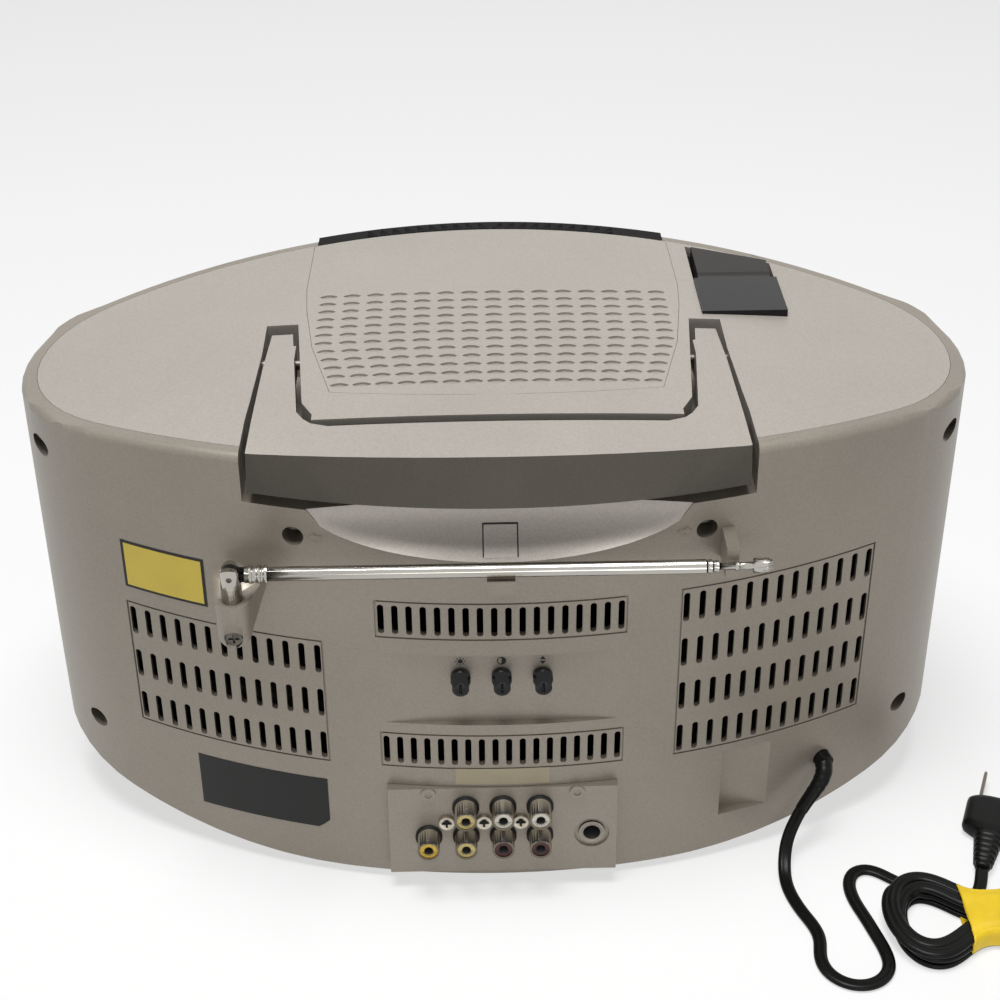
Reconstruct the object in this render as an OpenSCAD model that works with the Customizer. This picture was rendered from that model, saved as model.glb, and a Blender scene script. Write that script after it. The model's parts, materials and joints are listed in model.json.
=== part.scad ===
// Table-top karaoke machine with a built-in monitor, a disc tray and a carrying handle.
// +Z up. The front with the screen faces -Y, the jacks and the aerial are on the +Y side.
// The body is an oval of four arcs seen from above, with a crowned top and an upturned belly.

/* [Body] */
// Width of the body
body_w = 360; // [350:1:380]
// Depth of the body behind its middle line
rear_d = 98; // [96:0.5:101]
// Depth of the body in front of its middle line
front_d = 110; // [108:0.5:114]
// Radius of the round ends, seen from above
end_r = 67; // [62:1:72]
// Height of the body at its middle, without the feet
body_h = 182.5; // [180:0.5:188]
// Fall of the crowned top from the middle to the ends
crown_drop = 8.6; // [6:0.2:11]
// Half width of the flat part of the belly
belly_flat = 60; // [56:1:66]
// Rise of the belly from its flat part to the ends
belly_rise = 27.3; // [20:0.5:32]
// Wall of the casings
wall = 2.5; // [2:0.1:3]
// Plane where the front and the rear casing meet, behind the middle line
parting_y = -40; // [-46:1:-34]

/* [Top cover] */
// Distance of the cover's seam from the outline
seam_inset = 6.2; // [5:0.2:8]
// Thickness of the top cover
plate_t = 2.5; // [2:0.1:3]
// Width of the ledge that carries the cover
ledge_w = 4; // [3:0.5:6]
// Play between pieces of the casing
fit_gap = 0.15; // [0.1:0.05:0.3]

/* [Louvre panel] */
// Half width of the panel at its widest
panel_half = 74.8; // [73:0.1:75]
// Half width of the panel at its rear corners
panel_rear_half = 59.4; // [56:0.2:62]
// Place of the panel's rear edge at its middle
panel_rear_y = 46; // [44:0.5:48]
// Number of dimples in a row
dimple_cols = 15; // [13:1:17]
// Number of rows of dimples
dimple_rows = 12; // [10:1:13]
// Length of one dimple
dimple_l = 7.1; // [6:0.1:8]
// Width of one dimple
dimple_w = 3.4; // [3:0.1:4]
// Distance between two rows
dimple_pitch = 6.9; // [6.5:0.1:7]

/* [Handle] */
// Depth of the handle's hinge line below the top
pivot_down = 6.5; // [5.5:0.25:7.5]
// Place of the hinge line, behind the middle line
pivot_y = 8; // [6:0.5:10]
// Radius of the hinge pins
pin_r = 2; // [1.5:0.1:2.5]
// Play of the pins in the handle
pin_play = 0.05; // [0.03:0.01:0.1]
// Thickness of the handle's bar at its middle
bar_thick = 15.5; // [14.5:0.5:16.5]
// Thickness of the handle's arms, measured from the top of the crown
arm_thick = 12.5; // [11.5:0.5:13.5]
// Depth of the floor under the bar
notch_down = 20.5; // [19.5:0.5:22.5]

/* [Finger scoop] */
// Radius of the scoop's hollow at its middle
scoop_r = 24; // [22:0.5:26]
// Depth of the scoop's lower edge below the top
scoop_down = 40.5; // [38.5:0.5:42.5]

/* [Vents] */
// Width of one vent slot
slot_w = 2.3; // [1.8:0.1:2.6]
// Height of one vent slot
slot_h = 12.4; // [11:0.2:13]
// Distance between two slots of the side grids
side_pitch = 5.86; // [5.5:0.02:6]
// Number of columns in a side grid
side_cols = 13; // [9:1:13]
// Distance between two slots of the middle vents
mid_pitch = 5.045; // [4.6:0.005:5.1]
// Number of slots in a middle vent
mid_cols = 18; // [14:2:18]
// Distance between two rows of slots
row_pitch = 19.85; // [19:0.05:20.5]
// Depth of the moulded line round each grid
groove_d = 0.6; // [0.4:0.1:1]

/* [Jack board] */
// Half width of the board
board_half = 43.2; // [41:0.2:44]
// Height of the board's lower edge
board_z0 = 4.3; // [4:0.1:6]
// Height of the board's upper edge
board_z1 = 43.5; // [42:0.5:44]
// Lean of the board's face from upright, in degrees
board_lean = 3.3; // [0:0.1:5]
// Distance between two neighbouring jacks
jack_pitch = 14; // [13.5:0.1:14.5]
// Diameter of a jack's barrel
jack_d = 8.3; // [8.1:0.05:8.5]
// Length of a jack's barrel in front of the board
jack_l = 9.4; // [8.5:0.1:9.8]
// Diameter of the headphone and microphone bores
phone_d = 6.5; // [6.4:0.02:6.7]

/* [Aerial] */
// Place of the swivel line, towards the machine's left
ant_x = 93.2; // [92:0.2:95]
// Place of the swivel line, behind the middle line
ant_y = 103.7; // [103.5:0.1:104.5]
// Depth of the folded aerial's axis below the top
ant_down = 37.7; // [36.5:0.1:38.5]
// Diameter of the widest aerial tube
ant_d = 5.1; // [4.8:0.1:5.3]
// Height of the aerial's axis over the bracket's shelf
shelf_down = 10.3; // [9.8:0.1:11.3]
// Play between two aerial tubes, on the radius
tube_play = 0.05; // [0.03:0.01:0.1]

/* [Disc tray] */
// Radius of the disc well
well_r = 60.8; // [60.4:0.1:61.5]
// Depth of the disc well
well_depth = 6; // [5:0.5:6]
// Half width of the tray
tray_half = 65; // [64:0.5:66]
// Play of the tray in its rails
tray_play = 0.35; // [0.3:0.05:0.5]

/* [Monitor] */
// Half width of the monitor's bezel
bezel_half = 73; // [71:0.5:73.5]
// Height of the bezel's lower edge
bezel_z = 70; // [68:0.5:72]
// Depth of the middle of the screen below the top
screen_down = 54.5; // [52.5:0.5:56.5]

/* [Hidden] */
$fn = 48;
fine = 360;          // sides of the large arcs
eps = 0.01;          // overlap of cuts with the face they start from
far = 400;           // longer than the body

// --- heights that follow from the body's height
pivot_z = body_h - pivot_down;
bar_z = body_h - bar_thick;
arm_z = body_h - arm_thick;
notch_z = body_h - notch_down;
scoop_z = body_h - scoop_down;
ant_z = body_h - ant_down;
shelf_z = ant_z - shelf_down;
screen_z = body_h - screen_down;

// --- outline of the body, seen from above
half_w = body_w / 2;
end_x = half_w - end_r;
function arc_r(depth) = (end_x * end_x + depth * depth - end_r * end_r) / (2 * (depth - end_r));
rear_R = arc_r(rear_d);
front_R = arc_r(front_d);
rear_cy = rear_d - rear_R;
front_cy = front_R - front_d;
rear_tan = end_x * rear_R / (rear_R - end_r);
function rear_y(x, inset = 0) = rear_cy + sqrt(pow(rear_R - inset, 2) - x * x);
function end_y(x, inset = 0) = sqrt(pow(end_r - inset, 2) - pow(abs(x) - end_x, 2));
function back_y(x, inset = 0) = abs(x) < rear_tan ? rear_y(x, inset) : end_y(x, inset);
function front_y(x, inset = 0) = front_cy - sqrt(pow(front_R - inset, 2) - x * x);
function rear_turn(x) = asin(x / rear_R);
function front_turn(x) = asin(x / front_R);

// --- side view: crowned top, upturned belly
crown_R = (half_w * half_w + crown_drop * crown_drop) / (2 * crown_drop);
belly_run = half_w - belly_flat;
belly_R = (belly_run * belly_run + belly_rise * belly_rise) / (2 * belly_rise);
function crown_z(x) = body_h - crown_R + sqrt(crown_R * crown_R - x * x);
function belly_z(x) = belly_R - sqrt(belly_R * belly_R - pow(max(0, abs(x) - belly_flat), 2));

// --- feet and the shift that centres the body's box on the origin
foot_h = 4;
foot_r = 8;
foot_x = 48;
foot_front_y = 30 - front_d;
foot_rear_y = 74;
nose_r = 6.3;
tray_proud = 2;
bezel_proud = 1.5;
front_reach = front_d + tray_proud;
rear_reach = ant_y + nose_r - 0.2;
y_shift = (front_reach - rear_reach) / 2;
module placed() translate([0, y_shift, foot_h]) children();

// --- colours
silver = "#a7a298";
plate_c = "#b9b4ac";
black = "#1b1a19";
chrome = "#d9d9d6";

// Points of an arc, without its last one.
function arc(c, R, a0, a1, n) =
  [for (i = [0 : n - 1]) let (a = a0 + (a1 - a0) * i / n) c + R * [cos(a), sin(a)]];

// Oval of four arcs that run into each other, inset by the same amount all round.
rear_half = asin(end_x / (rear_R - end_r));
front_half = asin(end_x / (front_R - end_r));
long_steps = 48;
end_steps = 14;
crown_steps = 24;
belly_steps = 10;
module oval(inset = 0) {
  polygon(concat(
    arc([0, rear_cy], rear_R - inset, 90 - rear_half, 90 + rear_half, long_steps),
    arc([-end_x, 0], end_r - inset, 90 + rear_half, 270 - front_half, end_steps),
    arc([0, front_cy], front_R - inset, 270 - front_half, 270 + front_half, long_steps),
    arc([end_x, 0], end_r - inset, front_half - 90, 90 - rear_half, end_steps)));
}

// Side outline of the body: the crown lowered by "down" over the belly raised by "up".
crown_half = asin((half_w + 8) / crown_R);
belly_half = asin(belly_run * 1.06 / belly_R);
module side_outline(down = 0, up = 0) {
  rotate([90, 0, 0]) linear_extrude(far, center = true) polygon(concat(
    arc([0, body_h - crown_R], crown_R - down, 90 - crown_half, 90 + crown_half, crown_steps),
    [[-half_w - 9, body_h - crown_drop - down - 1]],
    arc([-belly_flat, belly_R], belly_R - up, 270 - belly_half, 270, belly_steps),
    [[-belly_flat, up]],
    arc([belly_flat, belly_R], belly_R - up, 270, 270 + belly_half, belly_steps),
    [[half_w + 9, body_h - crown_drop - down - 1]]));
}

// Everything below the crown lowered by "down".
module under_crown(down = 0) {
  rotate([90, 0, 0]) linear_extrude(far, center = true) polygon(concat(
    arc([0, body_h - crown_R], crown_R - down, 90 - crown_half, 90 + crown_half, crown_steps),
    [[-half_w - 9, body_h - crown_drop - down - 1], [-half_w - 9, -1], [half_w + 9, -1],
      [half_w + 9, body_h - crown_drop - down - 1]]));
}

// Skin under the crown, from "over" above it to "thick" below it.
module crown_skin(thick, over = 0) {
  difference() {
    under_crown(-over);
    under_crown(thick);
  }
}

// The body as one block, inset at its walls, its top and its belly.
module block(inset = 0, down = 0, up = 0) {
  intersection() {
    linear_extrude(body_h + 1) oval(inset);
    side_outline(down, up);
  }
}

// Slot with round ends, cut along Y.
module slot(w, h, l) {
  rotate([90, 0, 0]) linear_extrude(l, center = true) {
    square([w, h - w], center = true);
    for (s = [-1, 1]) translate([0, s * (h - w) / 2]) circle(w / 2, $fn = 16);
  }
}

// Box between two corners.
module span(a, b) translate(a) cube(b - a);

// Cylinder along +Y that starts at a point.
module along_y(p, r, l) translate(p) rotate([-90, 0, 0]) cylinder(r = r, h = l);

// --- vents
side_x0 = 66.6;
row_z0 = 58.8;
slot_low_z = 59.9;
slot_high_z = 118.85;
grid_margin = 3.4;
vent_depth = 60;
module vent_row(x0, pitch, count, z) {
  for (i = [0 : count - 1]) translate([x0 + i * pitch, vent_y, z]) slot(slot_w, slot_h, vent_depth);
}
vent_y = rear_d - 18;
mid_x0 = -(mid_cols - 1) / 2 * mid_pitch;
module vents() {
  for (k = [0 : 2]) vent_row(side_x0, side_pitch, side_cols, row_z0 + k * row_pitch);
  for (k = [0 : 3]) mirror([1, 0, 0]) vent_row(side_x0, side_pitch, side_cols, row_z0 + k * row_pitch);
  for (z = [slot_low_z, slot_high_z]) vent_row(mid_x0, mid_pitch, mid_cols, z);
}

// Moulded line round a grid, as a frame cut into the outer skin.
module grid_line(x0, x1, z0, z1) {
  line_w = 0.7;
  intersection() {
    difference() {
      span([x0, 0, z0], [x1, far, z1]);
      span([x0 + line_w, -1, z0 + line_w], [x1 - line_w, far + 1, z1 - line_w]);
    }
    difference() {
      linear_extrude(body_h) oval(-1);
      translate([0, 0, -1]) linear_extrude(body_h + 2) oval(groove_d);
    }
  }
}
side_x1 = side_x0 + (side_cols - 1) * side_pitch;
function row_top(k) = row_z0 + k * row_pitch + slot_h / 2;
module grid_lines() {
  m = grid_margin - slot_w / 2;
  z0 = row_z0 - slot_h / 2 - 1.4;
  grid_line(side_x0 - m, side_x1 + m, z0, row_top(2) + 2.2);
  grid_line(-side_x1 - m, -side_x0 + m, z0, row_top(3) + 2.2);
  for (z = [slot_low_z, slot_high_z])
    grid_line(mid_x0 - m, -mid_x0 + m, z - slot_h / 2 - 1.9, z + slot_h / 2 + 1.9);
}

// --- finger scoop under the handle's bar: a barrel hollow cut off by slanted ends
scoop_y = rear_d + 10;
scoop_axis_z = body_h - 16.5;
scoop_arc = 450;
scoop_top_half = 67;
scoop_low_half = 52;
module scoop(grow = 0) {
  intersection() {
    translate([0, scoop_y, scoop_axis_z]) rotate([0, 90, 0]) rotate_extrude($fn = 96)
      intersection() {
        translate([scoop_r + grow - scoop_arc, 0]) circle(scoop_arc, $fn = 2 * fine);
        translate([0, -80]) square([scoop_r + grow, 160]);
      }
    rotate([90, 0, 0]) linear_extrude(far, center = true) polygon([
      [-scoop_low_half - grow, scoop_z - 3 * grow], [scoop_low_half + grow, scoop_z - 3 * grow],
      [scoop_top_half + grow, notch_z + eps], [-scoop_top_half - grow, notch_z + eps]]);
  }
}

// --- notch that the handle's bar lies in
notch_half = 89.7;
notch_y = 61;
module notch(grow = 0) {
  span([-notch_half - grow, notch_y - grow, notch_z - grow], [notch_half + grow, far, body_h + 10]);
}

// --- arm channels beside the louvre panel
channel_front = -16.5;
channel_floor = body_h - 24.5;
channel_wall = 2;
channel_end = notch_y - wall - fit_gap;
module channel_plan(grow = 0) {
  polygon([[76 - grow, channel_front - grow], [70.2 - grow, 48], [66 - grow, 57],
    [66 - grow, channel_end], [notch_half + grow, channel_end], [notch_half - 0.6 + grow, 44],
    [notch_half - 1.7 + grow, pivot_y], [notch_half - 1.5 + grow, channel_front - grow]]);
}
module channel(grow = 0, top = body_h + 5) {
  for (m = [0, 1]) mirror([m, 0, 0]) translate([0, 0, channel_floor - grow])
    linear_extrude(top - channel_floor + grow) channel_plan(grow);
}

// --- flat panel with the three trimmer knobs
trim_half = 43;
trim_z0 = 72.6;
trim_z1 = 104;
trim_y = rear_d - 3.2;
trim_z = 93.1;
trim_pitch = 14.9;
trim_shaft_r = 2.4;
module trim_recess(grow = 0) {
  span([-trim_half - grow, trim_y - grow, trim_z0 - grow], [trim_half + grow, far, trim_z1 + grow]);
}

// --- jack board in the rear wall, leaning a little
board_y = rear_d + 1.25;
board_zc = 34.8;
board_t = 6.5;
board_rest = 3.8;
module on_board() translate([0, board_y, board_zc]) rotate([board_lean, 0, 0]) children();
module board_slab(grow = 0, t = board_t, front = 0) {
  on_board() span([-board_half - grow, -t - grow, board_z0 - board_zc - grow],
    [board_half + grow, front, board_z1 - board_zc + grow]);
}

// --- flat pocket beside the cord
pocket_x0 = -103.5;
pocket_x1 = -84;
pocket_z0 = 16.5;
pocket_z1 = 47.5;
pocket_y = 78.8;
module pocket(grow = 0) {
  span([pocket_x0 - grow, pocket_y - grow, pocket_z0 - grow], [pocket_x1 + grow, far, pocket_z1 + grow]);
}

// --- screw wells of the casing: [x, z] of each well
wells = [[72.4, body_h - 31.9], [half_w - 11.4, body_h - 23], [half_w - 20.5, 41]];
well_hole_r = 3.8;
well_d = 11;
boss_wall = 2.2;
screw_r = 1.6;
module at_wells() {
  for (w = wells, s = [-1, 1]) translate([s * w[0], back_y(w[0]), w[1]]) rotate([-90, 0, 0]) children();
}

// --- cord outlet on the local normal of the rear wall
cord_x = -125.9;
cord_z = 30.7;
cord_d = 5;
gland_r = 3.6;
module at_cord() {
  translate([cord_x, rear_y(cord_x), cord_z]) rotate([0, 0, -rear_turn(cord_x)])
    rotate([-90, 0, 0]) children();
}

// Half of the hollow casing, as a block with its inside, top opening and ledge cut out.
module casing(y0, y1) {
  difference() {
    intersection() {
      block(0, 0);
      span([-far, y0, -1], [far, y1, body_h + 1]);
    }
    difference() {
      block(wall, plate_t + wall, wall);
      children();
    }
    intersection() {
      translate([0, 0, body_h / 2]) linear_extrude(body_h) oval(seam_inset - fit_gap);
      crown_skin(plate_t + fit_gap, 5);
    }
    translate([0, 0, body_h / 2 + 60]) linear_extrude(body_h) difference() {
      oval(seam_inset + ledge_w);
      translate([-notch_half - wall, notch_y - wall]) square([2 * (notch_half + wall), far]);
    }
  }
}

post_x0 = -82.4;
post_x1 = -78;
post_z0 = ant_z - 6.8;
post_z1 = ant_z + 5.2;
post_y = ant_y - ant_d / 2 - 0.3;
clip_half = 4.9;
clip_front = ant_y + 4.5;
clip_lip = 1.7;
clip_z0 = ant_z - 7.3;
clip_shelf = 2;
clip_top = ant_z - ant_d / 2 - 0.35;
module rear_shell() color(silver) placed() {
  difference() {
    casing(parting_y, far) {
      scoop(wall);
      notch(wall);
      trim_recess(wall);
      board_slab(wall + 2);
      pocket(wall);
      at_wells() translate([0, 0, -well_d - wall]) cylinder(r = well_hole_r + boss_wall, h = far);
    }
    scoop();
    notch();
    trim_recess();
    board_slab(fit_gap, board_t, far);
    board_slab(-board_rest, far, far);
    pocket();
    channel(channel_wall + fit_gap);
    channel_gate();
    vents();
    grid_lines();
    at_wells() translate([0, 0, -well_d]) cylinder(r = well_hole_r, h = far);
    at_wells() translate([0, 0, -well_d - wall - 1]) cylinder(r = screw_r, h = far);
    for (i = [-1 : 1]) along_y([i * trim_pitch, 60, trim_z], trim_shaft_r + 0.1, 60);
    at_cord() translate([0, 0, -8]) cylinder(r = gland_r + fit_gap, h = 20);
  }
  // rest post and clip of the folded aerial
  difference() {
    union() {
      span([post_x0, rear_y(post_x0) - 4, post_z0], [post_x1, post_y, post_z1]);
      span([-clip_half, rear_d - 4, clip_z0], [clip_half, clip_front, clip_z0 + clip_shelf]);
      span([-clip_half, clip_front - clip_lip, clip_z0], [clip_half, clip_front, clip_top]);
    }
    linear_extrude(body_h) oval(1);
    scoop();
  }
}

// Way between the arm channels and the notch.
module channel_gate() {
  for (m = [0, 1]) mirror([m, 0, 0])
    span([68, notch_y - 2 * wall - 1, notch_z], [notch_half, notch_y + 1, body_h + 5]);
}

// --- front of the body
speaker_x = half_w - 48;
speaker_z = 95;
speaker_r = 40;
module at_speakers() {
  for (m = [0, 1]) mirror([m, 0, 0]) translate([speaker_x, front_y(speaker_x), speaker_z])
    rotate([0, 0, front_turn(speaker_x)]) rotate([90, 0, 0]) children();
}
row_z = 24;
mic_x = [-62, -42];
mic_r = 6.5;
button_r = 4.5;
button_x0 = -18;
button_step = 14;
power_x = 62;
knob_x = 86;
knob_z = 60;
knob_r = 8;
knob_shaft_r = 3;
module at_knob(side) {
  translate([side * knob_x, front_y(knob_x), knob_z]) rotate([0, 0, side * front_turn(knob_x)])
    rotate([90, 0, 0]) children();
}
tray_front_half = 75;
tray_z0 = 44;
tray_z1 = 58;
module front_shell() color(silver) placed() difference() {
  casing(-far, parting_y);
  span([-bezel_half - fit_gap, -far, bezel_z - fit_gap], [bezel_half + fit_gap, parting_y - 20, far]);
  span([-tray_front_half - tray_play, -far, tray_z0 - tray_play],
    [tray_front_half + tray_play, parting_y - 20, tray_z1 + tray_play]);
  at_speakers() cylinder(r = speaker_r + fit_gap, h = 60, center = true);
  for (x = mic_x) along_y([x, -far, row_z], mic_r + fit_gap, far - 60);
  for (i = [0 : 4]) along_y([button_x0 + i * button_step, -far, row_z], button_r + 0.2, far - 60);
  along_y([power_x, -far, row_z], button_r + 0.2, far - 60);
  for (s = [-1, 1]) at_knob(s) cylinder(r = knob_shaft_r + 0.1, h = 20, center = true);
  translate([0, 0, tub_floor - fit_gap]) linear_extrude(60) pod_plan(fit_gap);
}

// --- top cover with the handle's arm channels moulded under it
pod_x0 = -115.5;
pod_x1 = -82;
pod_rear = -21;
pod_seam = -52;
pod_front_in = front_y(pod_x1) + 9.4;
pod_front_out = front_y(pod_x0) + 8.45;
module pod_plan(grow = 0) {
  polygon([[pod_x0 - grow, pod_rear + grow], [pod_x1 + grow, pod_rear + grow],
    [pod_x1 + grow, pod_front_in - grow], [pod_x0 - grow, pod_front_out - grow]]);
}
module panel_plan(inset = 0) {
  rear_drop = 5;
  rear_arc = (panel_rear_half * panel_rear_half + rear_drop * rear_drop) / (2 * rear_drop);
  intersection() {
    polygon([[-panel_rear_half + inset, panel_rear_y], [-69.4 + inset, 3.6], [-73.5 + inset, -29],
      [-panel_half + inset, -48], [-bezel_half - 1 + inset, -front_d], [bezel_half + 1 - inset, -front_d],
      [panel_half - inset, -48], [73.5 - inset, -29], [69.4 - inset, 3.6],
      [panel_rear_half - inset, panel_rear_y]]);
    translate([0, panel_rear_y - rear_arc - inset]) circle(rear_arc, $fn = fine);
    translate([0, front_cy]) circle(front_R + bezel_proud - bezel_t - fit_gap - inset, $fn = fine);
  }
}
module top_plate() color(plate_c) placed() difference() {
  union() {
    intersection() {
      translate([0, 0, body_h / 2]) linear_extrude(body_h) oval(seam_inset);
      crown_skin(plate_t);
    }
    intersection() {
      channel(channel_wall);
      under_crown(1);
    }
  }
  channel();
  translate([0, 0, body_h - 20]) linear_extrude(40) panel_plan(-fit_gap);
  translate([0, 0, body_h - 30]) linear_extrude(60) pod_plan(fit_gap);
  translate([0, 0, body_h / 2]) linear_extrude(body_h) {
    translate([-notch_half, notch_y]) square([2 * notch_half, far]);
    for (m = [0, 1]) mirror([m, 0]) translate([66, channel_end - 1]) square([notch_half - 66, far]);
    translate([-bezel_half - fit_gap, -far - front_d + 22]) square([2 * (bezel_half + fit_gap), far - 4]);
  }
  span([-far, -far, -1], [far, far, channel_floor - channel_wall]);
  for (s = [-1, 1]) translate([s * 80, pivot_y, pivot_z]) rotate([0, 90, 0])
    cylinder(r = pin_r + 0.01, h = 24, center = true);
}

// --- louvre panel: one row after another of lens-shaped dimples
panel_t = 2.2;
dimple_y0 = -40.1;
dimple_deep = 0.9;
function panel_half_at(y) = y < -29 ? 73.5 : (y < 3.6 ? 73.5 - (y + 29) * 0.126 : 69.4 - (y - 3.6) * 0.236);
function dimple_half(y) = min(65.5, panel_half_at(y) - 4.5);
dimple_arc = (dimple_l * dimple_l + dimple_w * dimple_w) / (4 * dimple_w);
module dimple() {
  linear_extrude(4) intersection_for (s = [-1, 1])
    translate([0, s * (dimple_w / 2 - dimple_arc)]) circle(dimple_arc, $fn = 72);
}
module louvre_panel() color(plate_c) placed() difference() {
  intersection() {
    translate([0, 0, body_h / 2]) linear_extrude(body_h) panel_plan();
    crown_skin(panel_t);
  }
  for (j = [0 : dimple_rows - 1], i = [0 : dimple_cols - 1]) {
    y = dimple_y0 + j * dimple_pitch;
    x = dimple_half(y) * (2 * i / (dimple_cols - 1) - 1);
    translate([x, y, crown_z(x) - dimple_deep]) dimple();
  }
}

// --- handle: two arms and a bar whose rear face slopes down to the rear wall
arm_front = -8;
bar_half = notch_half - 2.4;
bar_front = 66;
bar_low_over = 1.5;
bar_top_y = 91.2;
bar_top_arc = 416;
module bar_slice(z, r, cy) {
  translate([0, 0, z]) linear_extrude(eps) intersection() {
    translate([-bar_half, bar_front]) square([2 * bar_half, 60]);
    translate([0, cy]) circle(r, $fn = 180);
  }
}
module handle() color(plate_c) placed() difference() {
  intersection() {
    union() {
      hull() {
        bar_slice(bar_z, rear_R + bar_low_over, rear_cy);
        bar_slice(body_h, bar_top_arc, bar_top_y - bar_top_arc);
      }
      for (m = [0, 1]) mirror([m, 0, 0]) {
        translate([0, 0, arm_z]) linear_extrude(body_h - arm_z) polygon([[77.5, arm_front],
          [71.7, 54.6], [69, 60], [66, 63.5], [60, bar_front], [60, bar_front + 4],
          [bar_half, bar_front + 4], [bar_half, 60], [bar_half - 0.6, 18], [bar_half - 1.8, arm_front]]);
        translate([80, pivot_y, pivot_z]) rotate([0, 90, 0]) intersection() {
          cylinder(r = 9, h = 9, center = true);
          translate([-3, 0, 0]) cube([18, 12, 20], center = true);
        }
      }
    }
    under_crown();
  }
  translate([0, bar_front + 12, bar_z - 5]) rotate([0, 90, 0]) cylinder(r = 9, h = 2 * 60, center = true);
  for (s = [-1, 1]) translate([s * 80, pivot_y, pivot_z]) rotate([0, 90, 0])
    cylinder(r = pin_r + pin_play, h = 30, center = true);
}
module handle_pins() color("silver") placed()
  for (s = [-1, 1]) translate([s * 80.6, pivot_y, pivot_z]) rotate([0, 90, 0])
    cylinder(r = pin_r, h = 17, center = true);

// --- fasteners
head_h = 2;
module cross_screw(head_r, shank_r, shank_l) {
  difference() {
    cylinder(r = head_r, h = head_h);
    for (a = [0, 90]) rotate([0, 0, a]) translate([0, 0, head_h])
      cube([head_r * 1.3, 0.8, 1.8], center = true);
  }
  translate([0, 0, -shank_l]) cylinder(r = shank_r, h = shank_l + eps);
}
module case_screws() color("#4a4845") placed()
  at_wells() translate([0, 0, -well_d + 0.05]) cross_screw(well_hole_r - 0.5, screw_r - 0.1, 9);
module feet() color("#232323") placed()
  for (s = [-1, 1], y = [foot_front_y, foot_rear_y]) translate([s * foot_x, y, -foot_h])
    cylinder(r = foot_r, h = foot_h);

// --- monitor
screen_half = 53;
screen_half_h = 40;
bezel_t = 8;
bezel_back = 13.8 - front_d;
module bezel_block(x_half, z0, z1, over, under) {
  intersection() {
    span([-x_half, -far, z0], [x_half, bezel_back, z1]);
    difference() {
      translate([0, front_cy, 0]) cylinder(r = front_R + over, h = body_h, $fn = fine);
      translate([0, front_cy, -1]) cylinder(r = front_R - under, h = body_h + 2, $fn = fine);
    }
  }
}
screen_cut = 6;
module monitor_bezel() color(black) placed() intersection() {
  under_crown();
  difference() {
    union() {
      intersection() {
        span([-bezel_half, -far, bezel_z], [bezel_half, 0, body_h]);
        difference() {
          translate([0, front_cy, 0]) cylinder(r = front_R + bezel_proud, h = body_h, $fn = fine);
          translate([0, front_cy, -1])
            cylinder(r = front_R + bezel_proud - bezel_t, h = body_h + 2, $fn = fine);
        }
      }
      bezel_block(60, screen_z - 46, screen_z + 46, 0, 20);
    }
    rotate([90, 0, 0]) linear_extrude(far) {
      translate([-screen_half + screen_cut, screen_z - screen_half_h])
        square([2 * (screen_half - screen_cut), 2 * screen_half_h]);
      translate([-screen_half, screen_z - screen_half_h + screen_cut])
        square([2 * screen_half, 2 * (screen_half_h - screen_cut)]);
      for (sx = [-1, 1], sz = [-1, 1])
        translate([sx * (screen_half - 6), screen_z + sz * (screen_half_h - 6)]) circle(6);
    }
  }
}
tube_half = 57;
tube_half_h = 43;
tube_neck_r = 12;
module picture_tube() color("#5b6a63") placed() translate([0, bezel_back + 0.3, screen_z]) {
  translate([-tube_half, 0, -tube_half_h]) cube([2 * tube_half, 8, 2 * tube_half_h]);
  hull() {
    translate([-tube_half + 2, 8, -tube_half_h + 2]) cube([2 * tube_half - 4, eps, 2 * tube_half_h - 4]);
    translate([0, 58, 0]) rotate([-90, 0, 0]) cylinder(r = tube_neck_r + 3, h = 1, $fn = 32);
  }
  along_y([0, 58.5, 0], tube_neck_r, 72);
}

// --- speakers
grille_t = 6;
magnet_r = 24;
cone_front = grille_t + pow(speaker_r, 2) / (2 * front_R) + 0.35;
module speaker_drivers() color("#2a2928") placed() at_speakers() {
  translate([0, 0, -cone_front - 2.4]) cylinder(r = speaker_r - 2, h = 2.4);
  translate([0, 0, -cone_front - 20]) cylinder(r1 = 22, r2 = speaker_r - 4, h = 17.7);
  translate([0, 0, -cone_front - 34]) cylinder(r = magnet_r, h = 14.1);
}
module speaker_grilles() color("#3a3a3a") placed() intersection() {
  at_speakers() difference() {
    cylinder(r = speaker_r, h = 40, center = true);
    for (k = [-6 : 6]) translate([0, k * 5.6, 0])
      cube([2 * sqrt(pow(speaker_r - 5, 2) - pow(k * 5.6, 2)), 2.6, 60], center = true);
  }
  difference() {
    translate([0, front_cy, 0]) cylinder(r = front_R, h = body_h, $fn = fine);
    translate([0, front_cy, -1]) cylinder(r = front_R - grille_t, h = body_h + 2, $fn = fine);
  }
  span([-far, -far, 0], [far, 0, body_h]);
}

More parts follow.
